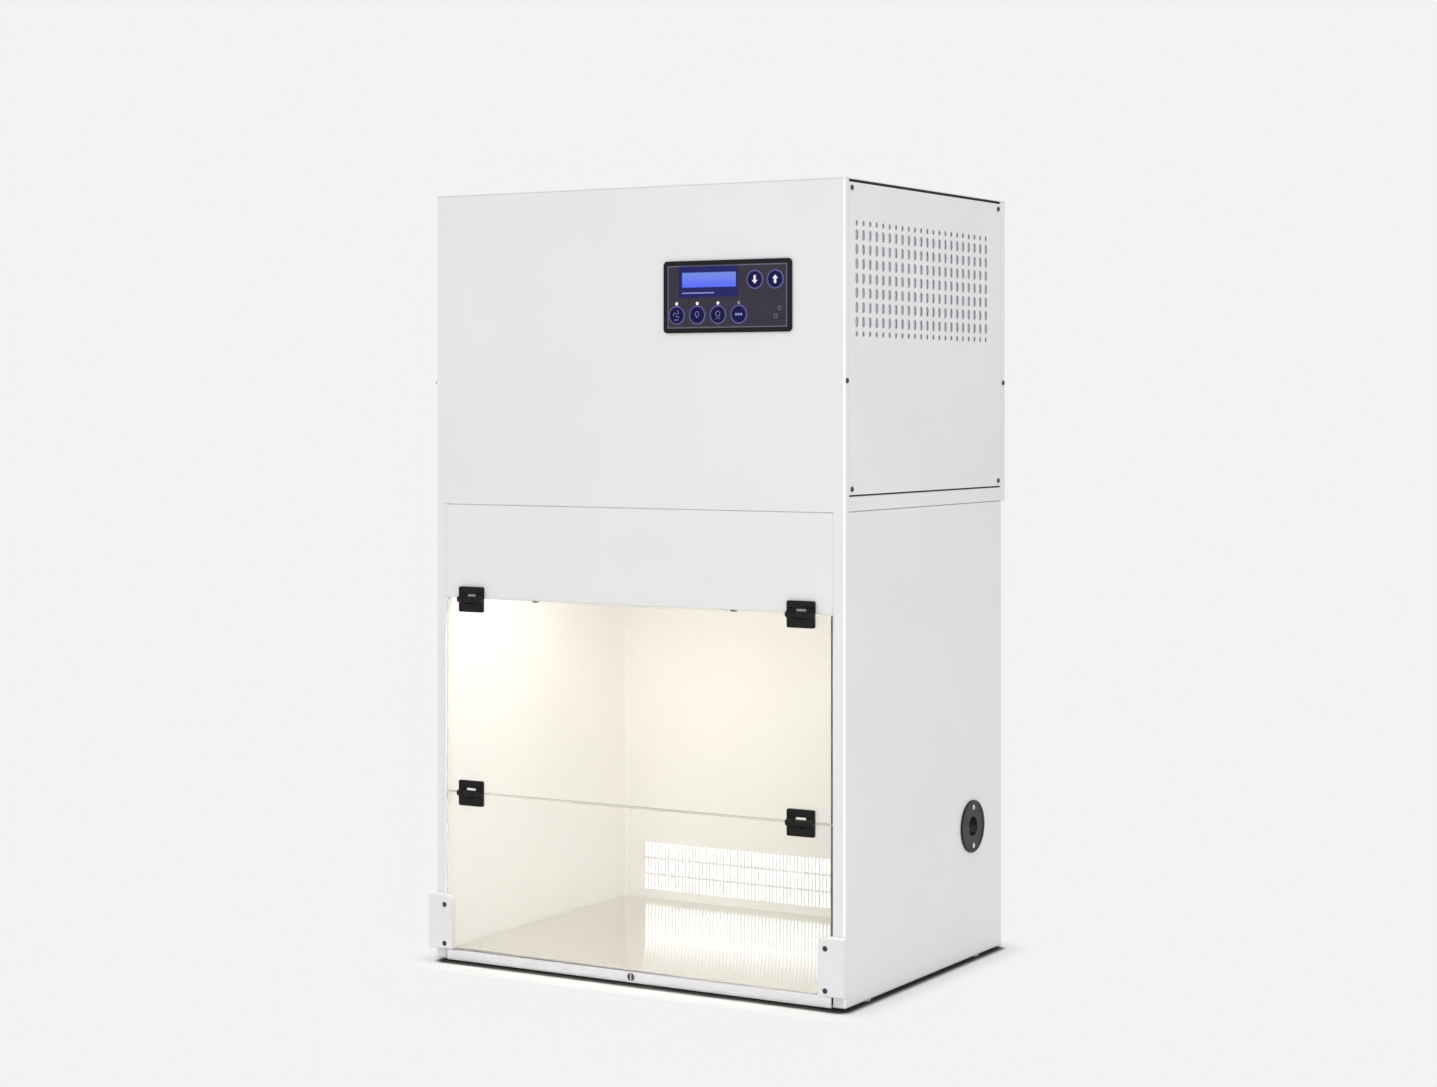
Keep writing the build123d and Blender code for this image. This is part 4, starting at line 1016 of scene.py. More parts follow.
@dataclass
class Screws:
    """Pan-head screws with a cross recess, and where each kind of them sits."""

    radius: float = 3.8 * MM
    height: float = 2.2 * MM
    recess: float = 1.9 * MM
    recess_width: float = 0.45 * MM
    recess_depth: float = 1.3 * MM
    port_flange: float = 2.5 * MM
    port_reach: float = 29.0 * MM
    panel_inset: float = 8.0 * MM
    cover_z: float = 874.0 * MM

    def head(self, surface: Surface, facing: Facing, seat: Point, turn: float = 0.3) -> None:
        """Adds one head: a shallow dome less a cross-shaped pit.

        The head is a square grid drawn onto a disc. Its height falls from the crown with the fourth
        power of the radius; the pit is as deep as the distance inside the nearer arm of the cross
        allows, and it ends at the recess radius.

        Args:
            surface: Surface that takes the head.
            facing: Side that the head looks out of.
            seat: Middle of its seat.
            turn: Angle that the cross is turned by.
        """
        steps = np.array([-1, -0.9, -0.75, -0.52, -0.5, -0.3, -0.13, -0.08, 0, 0.08, 0.13, 0.3,
                          0.5, 0.52, 0.75, 0.9, 1])
        u, v = np.meshgrid(steps, steps, indexing="ij")
        x = u * np.sqrt(1 - v * v / 2) * self.radius
        y = v * np.sqrt(1 - u * u / 2) * self.radius
        reach = np.hypot(x, y) / self.radius
        crown = self.height * (1 - 0.55 * reach ** 4)
        arm = np.minimum(np.abs(x), np.abs(y))
        along = np.maximum(np.abs(x), np.abs(y))
        pit = np.clip((self.recess_width * 1.3 - arm) / (0.3 * self.recess_width), 0, 1)
        pit *= np.clip((self.recess * 1.05 - along) / (0.2 * self.recess), 0, 1)
        height = crown - pit * self.recess_depth
        spin = np.array([[math.cos(turn), math.sin(turn)], [-math.sin(turn), math.cos(turn)]])
        flat = np.stack([x, y], axis=-1) @ spin
        surface.grid(facing.place(np.concatenate([flat, height[..., None]], axis=-1), seat))
        rim = np.concatenate([flat[:, 0], flat[-1, 1:], flat[-2::-1, -1], flat[0, -2:0:-1]])
        low = np.column_stack([rim, np.zeros(len(rim))])
        high = np.column_stack([rim, np.full(len(rim), self.height * 0.45)])
        rings = facing.place(np.stack([low, high]), seat)
        surface.grid(rings, close_columns=True)
        surface.cap(rings[0])

    def build(self, finishes: Finishes) -> None:
        """Makes the housing's screws in dark zinc and the port's two in bright steel.

        Args:
            finishes: Finishes of the hood.
        """
        low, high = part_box("housing_screws")
        panel_low, panel_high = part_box("side_panel_right")
        half = panel_high.x
        panel = Surface()
        for side, facing in ((-1, Facing.LEFT), (1, Facing.RIGHT)):
            x = side * half
            for y in (panel_low.y + self.panel_inset, panel_high.y - self.panel_inset):
                for z in (panel_low.z + self.panel_inset, panel_high.z - self.panel_inset):
                    self.head(panel, facing, (x, y, z), 0.4 + 9 * z)
            for y in (low.y + self.radius, high.y - self.radius):
                self.head(panel, facing, (x, y, self.cover_z), 1.1 + y)
        panel.piece("screws_housing", "cabinet", finishes.made["dark_steel"], "bright_metal",
                    ("housing_screws",))
        port_low, port_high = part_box("cable_port")
        middle = (port_low + port_high) / 2
        port = Surface()
        for z in (middle.z - self.port_reach, middle.z + self.port_reach):
            self.head(port, Facing.RIGHT, (half + self.port_flange, middle.y, z), 0.7 + z)
        port.piece("screws_port", "cabinet", finishes.made["bright_steel"], "bright_metal",
                   ("housing_screws",))


@dataclass
class IntakePanel:
    """Right side panel with its field of upright slots and round end holes, and a cloth behind."""

    columns: int = 22
    rows: int = 7
    pitch: float = 20.3 * MM
    end_pitch: float = 16.5 * MM
    slot_width: float = 10.0 * MM
    slot_height: float = 15.0 * MM
    end_hole: float = 8.0 * MM
    front_margin: float = 36.0 * MM
    drop: float = 133.5 * MM
    burr: float = 0.35 * MM
    cloth_thick: float = 0.8 * MM
    cloth_gap: float = 1.2 * MM
    cloth_corner: float = 2.0 * MM
    cloth_edge: float = 0.3 * MM
    side_steps: int = 5
    top_steps: int = 9

    def cell_rim(self, half_width: float, half_height: float) -> Array:
        """Points round a cell's border, in step with the slot's outline.

        They run up the right side, back along the top, down the left side and along the foot, at
        even steps on each side.

        Args:
            half_width: Half the cell's width.
            half_height: Half its height.

        Returns:
            Array of right, up points.
        """
        up = np.linspace(-1, 1, self.side_steps + 1)[:-1]
        back = np.linspace(1, -1, self.top_steps + 1)[:-1]
        ones_up, ones_back = np.ones_like(up), np.ones_like(back)
        rim = np.concatenate([np.column_stack([ones_up, up]), np.column_stack([back, ones_back]),
                              np.column_stack([-ones_up, -up]),
                              np.column_stack([-back, -ones_back])])
        return rim * [half_width, half_height]

    def slot_rim(self, width: float, height: float) -> Array:
        """Outline of a slot with half-round ends, in step with the cell's border.

        Two half circles of half the width stand apart by the height less the width; the straight
        sides are the one interval between their ends.

        Args:
            width: Full width.
            height: Full height.

        Returns:
            Array of right, up points.
        """
        turns = self.side_steps // 2 * 2 + self.top_steps
        turn = np.linspace(0, math.pi, turns + 1)
        radius = width / 2
        lift = height / 2 - radius
        upper = np.column_stack([radius * np.cos(turn), lift + radius * np.sin(turn)])
        lower = -upper
        rim = np.concatenate([upper, lower])
        return np.roll(rim, self.side_steps // 2 + 1, axis=0)

    def build(self, finishes: Finishes) -> None:
        """Makes the panel (cells with slots, margins, the walls of holes and edges) and the cloth.

        Args:
            finishes: Finishes of the hood.
        """
        low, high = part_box("side_panel_right")
        front, back = high.x, low.x
        field_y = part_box("front_cover")[0].y + self.front_margin - self.pitch / 2
        end_half = self.end_pitch - self.pitch / 2
        heights = [end_half] + [self.pitch / 2] * self.rows + [end_half]
        edges = np.concatenate([[0], np.cumsum(2 * np.array(heights))])
        edges += high.z - self.drop - edges[-1] / 2
        centres = (edges[:-1] + edges[1:]) / 2
        surface = Surface()
        columns = np.arange(self.columns) * self.pitch + field_y + self.pitch / 2
        for row, (z, half) in enumerate(zip(centres, heights)):
            ends = row in (0, self.rows + 1)
            width, height = (self.end_hole,) * 2 if ends else (self.slot_width, self.slot_height)
            border = self.cell_rim(self.pitch / 2, half)
            hole = self.slot_rim(width, height)
            grown = self.slot_rim(width + 2 * self.burr, height + 2 * self.burr)
            rings = [(front, border), (front, grown), (front - self.burr, hole), (back, hole),
                     (back, border)]
            profile = np.stack([np.column_stack([np.full(len(ring), x), ring])
                                for x, ring in rings])
            for y in columns:
                surface.grid(profile + [0, y, z], close_columns=True)
        self.margins(surface, (low.y, high.y), (low.z, high.z), (back, front), edges,
                     (field_y, field_y + self.columns * self.pitch))
        surface.piece("intake_panel", "cabinet", finishes.made["white_paint"], "white_enamel",
                      ("side_panel_right",))
        cloth = Surface()
        cloth.pad(self.columns * self.pitch, edges[-1] - edges[0], self.cloth_corner,
                  self.cloth_thick, self.cloth_edge, Facing.RIGHT,
                  (back - self.cloth_gap - self.cloth_thick, columns.mean(),
                   (edges[0] + edges[-1]) / 2), steps=3)
        cloth.piece("intake_cloth", "cabinet", finishes.made["intake_cloth"], "filter_cloth")

    def margins(self, surface: Surface, y_span: tuple[float, float], z_span: tuple[float, float],
                x_span: tuple[float, float], edges: Array, field_span: tuple[float, float]) -> None:
        """Adds the plain border round the field, and the panel's four edges.

        Args:
            surface: Surface that takes them.
            y_span: Front and rear edge of the panel.
            z_span: Foot and top of the panel.
            x_span: Inner and outer face.
            edges: Heights of the borders between the field's rows.
            field_span: Front and rear border of the field.
        """
        steps_z = np.concatenate([np.linspace(a, b, self.side_steps + 1)[:-1]
                                  for a, b in zip(edges[:-1], edges[1:])] + [edges[-1:]])
        steps_y = np.linspace(*field_span, self.columns * self.top_steps + 1)
        all_z = np.concatenate([[z_span[0]], steps_z, [z_span[1]]])
        all_y = np.concatenate([[y_span[0]], steps_y, [y_span[1]]])
        for x in x_span:
            for ys in ([y_span[0], field_span[0]], [field_span[1], y_span[1]]):
                surface.grid(np.stack(np.meshgrid([x], ys, all_z, indexing="ij"), -1)[0])
            for zs in ([z_span[0], edges[0]], [edges[-1], z_span[1]]):
                surface.grid(np.stack(np.meshgrid([x], steps_y, zs, indexing="ij"), -1)[0])
        for y in y_span:
            surface.grid(np.stack(np.meshgrid(x_span, [y], all_z, indexing="ij"), -1)[:, 0])
        for z in z_span:
            surface.grid(np.stack(np.meshgrid(x_span, all_y, [z], indexing="ij"), -1)[:, :, 0])


@dataclass
class Hinges:
    """Moulded window hinges: notched leaves, rounded knuckles and a plain pin."""

    width: float = 44.0 * MM
    leaf: float = 19.0 * MM
    thick: float = 4.6 * MM
    knuckle: float = 4.75 * MM
    middle: float = 18.0 * MM
    gap: float = 0.4 * MM
    notch: float = 3.2 * MM
    corner: float = 2.5 * MM
    edge: float = 0.7 * MM
    fillet: float = 0.6 * MM
    pin: float = 1.5 * MM
    pin_bevel: float = 0.3 * MM
    proud: float = 0.35 * MM
    joint_corner: float = 0.8 * MM
    tab_corner: float = 0.5 * MM

    def knuckle_profile(self, width: float) -> Array:
        """Profile of a knuckle: a straight side between two quarter-round rims.

        Args:
            width: Length along the axis.

        Returns:
            Array of radius, height.
        """
        turn = np.linspace(0, math.pi / 2, 5)
        rim = np.column_stack([self.knuckle - self.fillet + self.fillet * np.sin(turn),
                               self.fillet * (1 - np.cos(turn))])
        near = np.concatenate([[[0, 0]], rim])
        return np.concatenate([near, near[::-1] * [1, -1] + [0, width]])

    def leaf_surface(self, centre: Point, side: int, seat_y: float, tabs: list[tuple[float, float]],
                     axis_y: float) -> Surface:
        """One leaf: its plate, the tabs that reach the joint, and its knuckles.

        The fixed leaf stops short of the other leaf's knuckle by the notch. The moving leaf runs up
        to the other leaf's knuckles, and a filling with a hollow arc lies behind them.

        Args:
            centre: Middle of the hinge on its axis.
            side: 1 for the leaf above the joint, -1 for the one below.
            seat_y: Face that the leaf is bonded to.
            tabs: Start and end of each knuckle along the axis, from the middle.
            axis_y: Depth of the hinge axis.

        Returns:
            The leaf's surface.
        """
        surface = Surface()
        x, _, z = centre
        face = axis_y + self.knuckle + self.proud - self.thick
        depth = seat_y - face
        start = self.knuckle + (self.notch if side > 0 else self.gap)
        height = self.leaf - start
        corners = np.array([self.corner] * 2 + [self.joint_corner] * 2)[::side]
        surface.pad(self.width, height, corners, depth, self.edge, Facing.FRONT,
                    (x, seat_y, z + side * (start + height / 2)))
        for a, b in tabs:
            width, middle = b - a, (a + b) / 2
            reach = start + self.corner
            surface.pad(width, reach - self.gap / 2, self.tab_corner, depth, self.edge, Facing.FRONT,
                        (x + middle, seat_y, z + side * (reach + self.gap / 2) / 2))
            surface.turned(self.knuckle_profile(width), Facing.RIGHT, (x + a, axis_y, z), 28)
        if side < 0:
            clear = self.knuckle + self.gap
            turn = np.linspace(math.asin((seat_y - axis_y) / clear) if seat_y - axis_y < clear
                               else math.pi / 2, math.asin((face - axis_y) / clear), 9)
            arc = np.column_stack([clear * np.sin(turn), -clear * np.cos(turn)])
            block = np.concatenate([arc, [[face - axis_y, -clear - self.edge],
                                          [seat_y - axis_y, -clear - self.edge]]])
            for a in (-self.width / 2, tabs[0][1]):
                length = self.width / 2 + min(a, -a) if a > 0 else tabs[0][0] + self.width / 2
                surface.prism(block, length, Facing.RIGHT, (x + a, axis_y, z))
        return surface

    def build(self, finishes: Finishes) -> None:
        """Makes the eight leaves and the four pins.

        Args:
            finishes: Finishes of the hood.
        """
        half, mid, play = self.width / 2, self.middle / 2, self.gap / 2
        outer = [(-half, -mid - play), (mid + play, half)]
        inner = [(-mid + play, mid - play)]
        for joint, fixed_body, moving_body in (("upper", "cabinet", "upper_pane"),
                                               ("middle", "upper_pane", "lower_pane")):
            for side in ("left", "right"):
                node = f"{joint}_hinge_{side}_fixed"
                low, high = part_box(node)
                centre = ((low.x + high.x) / 2, 0.0, high.z - self.leaf)
                axis_y = low.y + self.knuckle
                for kind, turned, tabs, body in (("fixed", 1, outer, fixed_body),
                                                 ("moving", -1, inner, moving_body)):
                    name = f"{joint}_hinge_{side}_{kind}"
                    seat_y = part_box(name)[1].y
                    made = self.leaf_surface(centre, turned, seat_y, tabs, axis_y)
                    made.piece(f"{joint}_{side}_{kind}_leaf", body,
                               finishes.made["black_plastic"], "hinge_black", (name,))
            node = f"{joint}_hinge_pins"
            low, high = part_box(node)
            surface = Surface()
            axis = (low.y + high.y) / 2, (low.z + high.z) / 2
            length = self.width - 2 * self.gap
            neck = self.pin - self.pin_bevel
            for x in (low.x, high.x - length):
                profile = [(0, 0), (neck, 0), (self.pin, self.pin_bevel),
                           (self.pin, length - self.pin_bevel), (neck, length), (0, length)]
                surface.turned(np.array(profile), Facing.RIGHT, (x, *axis), 20)
            surface.piece(f"{joint}_pins", fixed_body, finishes.made["bright_steel"],
                          "bright_metal", (node,))


@dataclass
class Window:
    """Clear panes, their grips, and the rubber at the jambs and the header."""

    seal_lip: float = 3.0 * MM
    seal_web: float = 1.5 * MM
    seal_thick: float = 2.0 * MM
    seal_front_gap: float = 0.4 * MM
    seal_back_gap: float = 0.2 * MM
    pad_size: tuple[float, float] = (8.0 * MM, 9.0 * MM)
    pad_reach: float = 170.0 * MM
    pad_corner: float = 0.8 * MM
    pad_thick: float = 1.0 * MM
    pad_edge: float = 0.3 * MM
    screws: Screws = field(default_factory=Screws)

    def seals(self, finishes: Finishes) -> None:
        """Two pale rubber angles behind the pane edges, each with a rounded nose.

        An angle is one outline, drawn from the half circle of the nose round the web and the lip, and
        carried up the jamb.

        Args:
            finishes: Finishes of the hood.
        """
        low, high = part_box("window_rubbers")
        foot = low.z
        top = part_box("upper_pane")[1].z
        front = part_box("upper_pane")[1].y + self.seal_front_gap
        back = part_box("side_liner_right")[0].y - self.seal_back_gap
        turn = np.linspace(-math.pi / 2, math.pi / 2, 5)
        nose = self.seal_thick / 2
        surface = Surface()
        for side in (-1, 1):
            edge = high.x
            arc = np.column_stack([edge - self.seal_lip + nose + nose * np.sin(turn),
                                   front + nose - nose * np.cos(turn)])
            outline = np.concatenate([arc[::-1], [[edge, front], [edge, back],
                                                  [edge - self.seal_web, back],
                                                  [edge - self.seal_web, front + 2 * nose]]])
            outline[:, 0] *= side
            surface.prism(outline, top - foot, Facing.UP, (0, 0, foot))
        surface.piece("jamb_seals", "cabinet", finishes.made["clear_rubber"], "seal_rubber",
                      ("window_rubbers",))

    def pads(self, finishes: Finishes) -> None:
        """Two small black pads under the header's lower fold.

        Args:
            finishes: Finishes of the hood.
        """
        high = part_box("window_rubbers")[1]
        width, depth = self.pad_size
        surface = Surface()
        for x in (-self.pad_reach, self.pad_reach):
            surface.pad(width, depth, self.pad_corner, self.pad_thick, self.pad_edge, Facing.DOWN,
                        (x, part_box("upper_pane")[0].y + depth / 2, high.z), steps=3)
        surface.piece("header_pads", "cabinet", finishes.made["black_rubber"], "seal_rubber",
                      ("window_rubbers",))

    def build(self, finishes: Finishes) -> None:
        """Dresses the panes and grips, and makes the rubbers and the grips' sunk screws.

        Args:
            finishes: Finishes of the hood.
        """
        finishes.dress("clear_sheet", "upper_pane", "lower_pane")
        finishes.dress("white_plastic", "grip_left", "grip_right")
        self.seals(finishes)
        self.pads(finishes)
        low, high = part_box("grip_screws")
        surface = Surface()
        seat = low.y + self.screws.height
        for x in (low.x + self.screws.radius, high.x - self.screws.radius):
            for z in (low.z + self.screws.radius, high.z - self.screws.radius):
                self.screws.head(surface, Facing.FRONT, (x, seat, z), 0.5 + 7 * z)
        surface.piece("screws_dark", "lower_pane", finishes.made["dark_steel"], "dark_screw",
                      ("grip_screws",))


@dataclass
class Keypad:
    """Membrane keypad: printed film, display, six domed keys with icons and four lights."""

    key_radius: float = 12.3 * MM
    ring_width: float = 0.7 * MM
    dome: float = 0.35 * MM
    icon_lift: float = 0.12 * MM
    film_corner: float = 6.0 * MM
    light_radius: float = 1.4 * MM
    light_count: int = 4
    light_collar: float = 3.0 * MM
    light_dome: float = 0.8 * MM
    line: float = 0.42 * MM
    thin_line: float = 0.35 * MM
    bulb_line: float = 0.40 * MM
    foot_line: float = 0.45 * MM
    print_lift: float = 0.2 * MM
    print_edge: float = 0.1 * MM
    ring_edge: float = 0.25 * MM
    ring_crown: float = 0.1 * MM
    line_inset: float = 7.6 * MM
    line_width: float = 1.6 * MM
    round_mark: tuple[float, float] = (19.0 * MM, 33.5 * MM)
    square_mark: tuple[float, float] = (25.0 * MM, 22.4 * MM)
    lit_left: float = 3.7 * MM
    lit_middle: tuple[float, float] = (44.5 * MM, 24.2 * MM)
    lit_size: tuple[float, float] = (89.0 * MM, 21.0 * MM)
    dash_middle: tuple[float, float] = (26.5 * MM, 5.6 * MM)
    dash_size: tuple[float, float] = (53.0 * MM, 1.7 * MM)
    nodes: tuple[str, ...] = ("key_blower", "key_lamp", "key_uv", "key_set", "key_down", "key_up")

    def arrow(self, up: bool) -> Array:
        """Bold arrow outline: a shaft 3.8 mm wide under a head 9.2 mm wide.

        Args:
            up: True for an arrow that points up, False for one that points down.

        Returns:
            Array of right, up points.
        """
        half = np.array([(0, 6.2), (4.6, 0.9), (1.9, 0.9), (1.9, -5.4), (1.2, -6.1)]) * MM
        outline = np.concatenate([half, (half * [-1, 1])[:0:-1]])
        return outline[::-1] if up else outline * [1, -1]

    def fan_icon(self, surface: Surface, seat: Point) -> None:
        """Three curved blades round a hub, over a base line.

        A blade's reach grows with the sine of the share of its turn that it has run.

        Args:
            surface: Surface that takes the icon.
            seat: Middle of the key's face.
        """
        turn = np.linspace(0, 1, 9)
        for blade in range(3):
            start = blade * 2 * math.pi / 3
            spread = start + turn * 1.5
            reach = (1.2 + 4.2 * np.sin(turn * math.pi * 0.55)) * MM
            path = np.column_stack([reach * np.cos(spread), reach * np.sin(spread) + 1.5 * MM])
            surface.tube(path, self.line, Facing.FRONT, seat, 6)
        surface.pad(7 * MM, 1.0 * MM, 0.4 * MM, self.print_lift, self.print_edge, Facing.FRONT,
                    (seat[0], seat[1], seat[2] - 6.6 * MM), steps=3)

    def lamp_icon(self, surface: Surface, seat: Point) -> None:
        """A bulb drawn with one line, on a short foot.

        Args:
            surface: Surface that takes the icon.
            seat: Middle of the key's face.
        """
        turn = np.linspace(-0.35 * math.pi, 1.35 * math.pi, 25)
        bulb = np.column_stack([3.1 * MM * np.cos(turn), 3.1 * MM * np.sin(turn) + 1.6 * MM])
        foot = np.array([(-1.3, -3.6), (1.3, -3.6)]) * MM
        path = np.concatenate([np.array([[1.3 * MM, -3.4 * MM]]), bulb,
                               np.array([[-1.3 * MM, -3.4 * MM]])])
        surface.tube(path, self.bulb_line, Facing.FRONT, seat, 6)
        surface.tube(np.linspace(foot[0], foot[1], 4), self.foot_line, Facing.FRONT, seat, 6)

    def ray_icon(self, surface: Surface, seat: Point) -> None:
        """A ring with short rays below it.

        Args:
            surface: Surface that takes the icon.
            seat: Middle of the key's face.
        """
        turn = np.linspace(0, 2 * math.pi, 33)
        ring = np.column_stack([3.6 * MM * np.cos(turn), 3.6 * MM * np.sin(turn) + 1.4 * MM])
        surface.tube(ring, self.line, Facing.FRONT, seat, 6)
        for x in (-3.2, 0.0, 3.2):
            line = np.linspace((x * 0.75 * MM, -4.0 * MM), (x * MM, -6.6 * MM), 4)
            surface.tube(line, self.thin_line, Facing.FRONT, seat, 6)

    def list_icon(self, surface: Surface, seat: Point) -> None:
        """Three short bars side by side.

        Args:
            surface: Surface that takes the icon.
            seat: Middle of the key's face.
        """
        for x in (-4.2, 0.0, 4.2):
            surface.pad(3.2 * MM, 3.4 * MM, 0.7 * MM, self.print_lift, self.print_edge,
                        Facing.FRONT, (seat[0] + x * MM, seat[1], seat[2]), steps=3)

    def key(self, node: str, finishes: Finishes) -> None:
        """One key: a navy dome inside a violet ring, with its icon on top.

        The dome rises with one less the square of the share of its radius.

        Args:
            node: Name of the key's node.
            finishes: Finishes of the hood.
        """
        low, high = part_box(node)
        centre = ((low.x + high.x) / 2, (low.z + high.z) / 2)
        depth = high.y - low.y - self.dome
        inner = self.key_radius - self.ring_width
        turn = np.linspace(0, 1, 8)
        dome = np.column_stack([inner * (1 - turn), depth + self.dome * (1 - (1 - turn) ** 2)])
        seat = (centre[0], high.y, centre[1])
        cap = Surface()
        cap.turned(np.concatenate([[[0, 0], [inner, 0]], dome]), Facing.FRONT, seat, 48)
        cap.piece(f"{node}_dome", node, finishes.made["key_navy"], "key_navy", (node,))
        ring = Surface()
        edge = self.ring_edge
        section = np.array([(inner, 0), (self.key_radius, 0), (self.key_radius, depth - edge),
                            (self.key_radius - edge, depth), (inner + edge, depth + self.ring_crown),
                            (inner, depth), (inner, 0)])
        ring.turned(section, Facing.FRONT, seat, 48)
        ring.piece(f"{node}_ring", node, finishes.made["key_ring"], "key_navy")
        icon = Surface()
        face = (centre[0], low.y, centre[1])
        finish = "icon_violet"
        if node in ("key_up", "key_down"):
            finish = "icon_white"
            icon.prism(self.arrow(node == "key_up"), self.icon_lift + self.print_lift,
                       Facing.FRONT, (face[0], low.y + self.print_lift, face[2]))
        elif node == "key_blower":
            self.fan_icon(icon, face)
        elif node == "key_lamp":
            self.lamp_icon(icon, face)
        elif node == "key_uv":
            self.ray_icon(icon, face)
        else:
            self.list_icon(icon, (face[0], low.y + self.print_edge, face[2]))
        icon.piece(f"{node}_icon", node, finishes.made[finish], "key_navy")

    def middle(self, node: str) -> Point:
        """Middle of a node's box."""
        low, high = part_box(node)
        return (low + high) / 2

    def film(self, finishes: Finishes) -> None:
        """Prints the CAD plate, which keeps its own bores for keys, lights and display.

        Args:
            finishes: Finishes of the hood.
        """
        low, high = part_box("keypad_panel")
        centre = ((low.x + high.x) / 2, (low.z + high.z) / 2)
        shown_low, shown_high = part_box("display_module")
        window = (((shown_low.x + shown_high.x) / 2, (shown_low.z + shown_high.z) / 2),
                  (shown_high.x - shown_low.x, shown_high.z - shown_low.z))
        keys = tuple((middle.x, middle.z) for middle in map(self.middle, self.nodes))
        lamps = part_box("status_lights")
        places = np.linspace(lamps[0].x + self.light_radius, lamps[1].x - self.light_radius,
                             self.light_count)
        lights = tuple((float(x), self.middle("status_lights").z) for x in places)
        name = finishes.add(PrintedFilm(
            "keypad_film", centre, (high.x - low.x, high.z - low.z), self.film_corner,
            self.line_inset, self.line_width, window, keys=keys, lights=lights,
            marks=tuple((high.x - across, low.z + up)
                        for across, up in (self.round_mark, self.square_mark))))
        finishes.dress(name, "keypad_panel")
        left = shown_low.x + self.lit_left
        lit, dashes = ((left + across, shown_low.z + up)
                       for across, up in (self.lit_middle, self.dash_middle))
        name = finishes.add(BacklitDisplay("display_blue", lit, self.lit_size, dashes,
                                           self.dash_size))
        finishes.dress(name, "display_module")

    def lights(self, finishes: Finishes) -> None:
        """Four domed lights, the last one unlit.

        Args:
            finishes: Finishes of the hood.
        """
        low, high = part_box("status_lights")
        bright = finishes.add(SmallLamp("light_on", (1.0, 1.0, 1.0), 0.9))
        dim = finishes.add(SmallLamp("light_off", linear(160, 160, 168), 0.05))
        radius = self.light_radius
        turn = np.linspace(0, math.pi / 2, 7)
        dome = np.column_stack([radius * np.cos(turn),
                                self.light_collar + self.light_dome * np.sin(turn)])
        profile = np.concatenate([[[0, 0], [radius, 0]], dome])
        places = np.linspace(low.x + radius, high.x - radius, self.light_count)
        for name, finish, xs in (("lights_on", bright, places[:3]),
                                 ("light_off", dim, places[3:])):
            surface = Surface()
            for x in xs:
                surface.turned(profile, Facing.FRONT, (x, high.y, (low.z + high.z) / 2), 24)
            surface.piece(name, "cabinet", finishes.made[finish], "light_lens",
                          ("status_lights",))

    def build(self, finishes: Finishes) -> None:
        """Makes the keypad.

        Args:
            finishes: Finishes of the hood.
        """
        self.film(finishes)
        self.lights(finishes)
        for node in self.nodes:
            self.key(node, finishes)


@dataclass
class CablePort:
    """Round cable port: dished flange with a raised rim and a bored sleeve."""

    flange_radius: float = 39.5 * MM
    bore: float = 14.5 * MM
    sleeve: float = 20.0 * MM
    flange: float = 2.5 * MM
    lip: float = 0.5 * MM
    rim_edge: float = 0.9 * MM
    rim_ramp: tuple[float, float, float] = (5.6 * MM, 5.0 * MM, 4.4 * MM)

    def build(self, finishes: Finishes) -> None:
        """Turns the port: its profile runs from the bore out over the dish and rim, and back.

        Args:
            finishes: Finishes of the hood.
        """
        low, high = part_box("cable_port")
        centre = ((low.y + high.y) / 2, (low.z + high.z) / 2)
        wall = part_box("side_wall_right")[1].x - low.x
        face = wall + self.flange
        top = high.x - low.x
        turn = np.linspace(0, math.pi / 2, 5)
        edge = self.rim_edge
        rim = np.column_stack([self.flange_radius - edge + edge * np.sin(turn),
                               top - edge + edge * np.cos(turn)])
        dish, ramp, crest = (self.flange_radius - inset for inset in self.rim_ramp)
        profile = np.concatenate([
            [(self.bore, 0.0), (self.bore, face - self.lip), (self.bore + self.lip, face),
             (dish, face), (ramp, face + self.lip), (crest, top)],
            rim,
            [(self.flange_radius, wall), (self.sleeve, wall), (self.sleeve, 0.0),
             (self.bore, 0.0)]])
        surface = Surface()
        surface.turned(profile, Facing.RIGHT, (low.x, *centre), 96)
        surface.piece("port_grommet", "cabinet", finishes.made["port_plastic"], "plastic_black",
                      ("cable_port",))


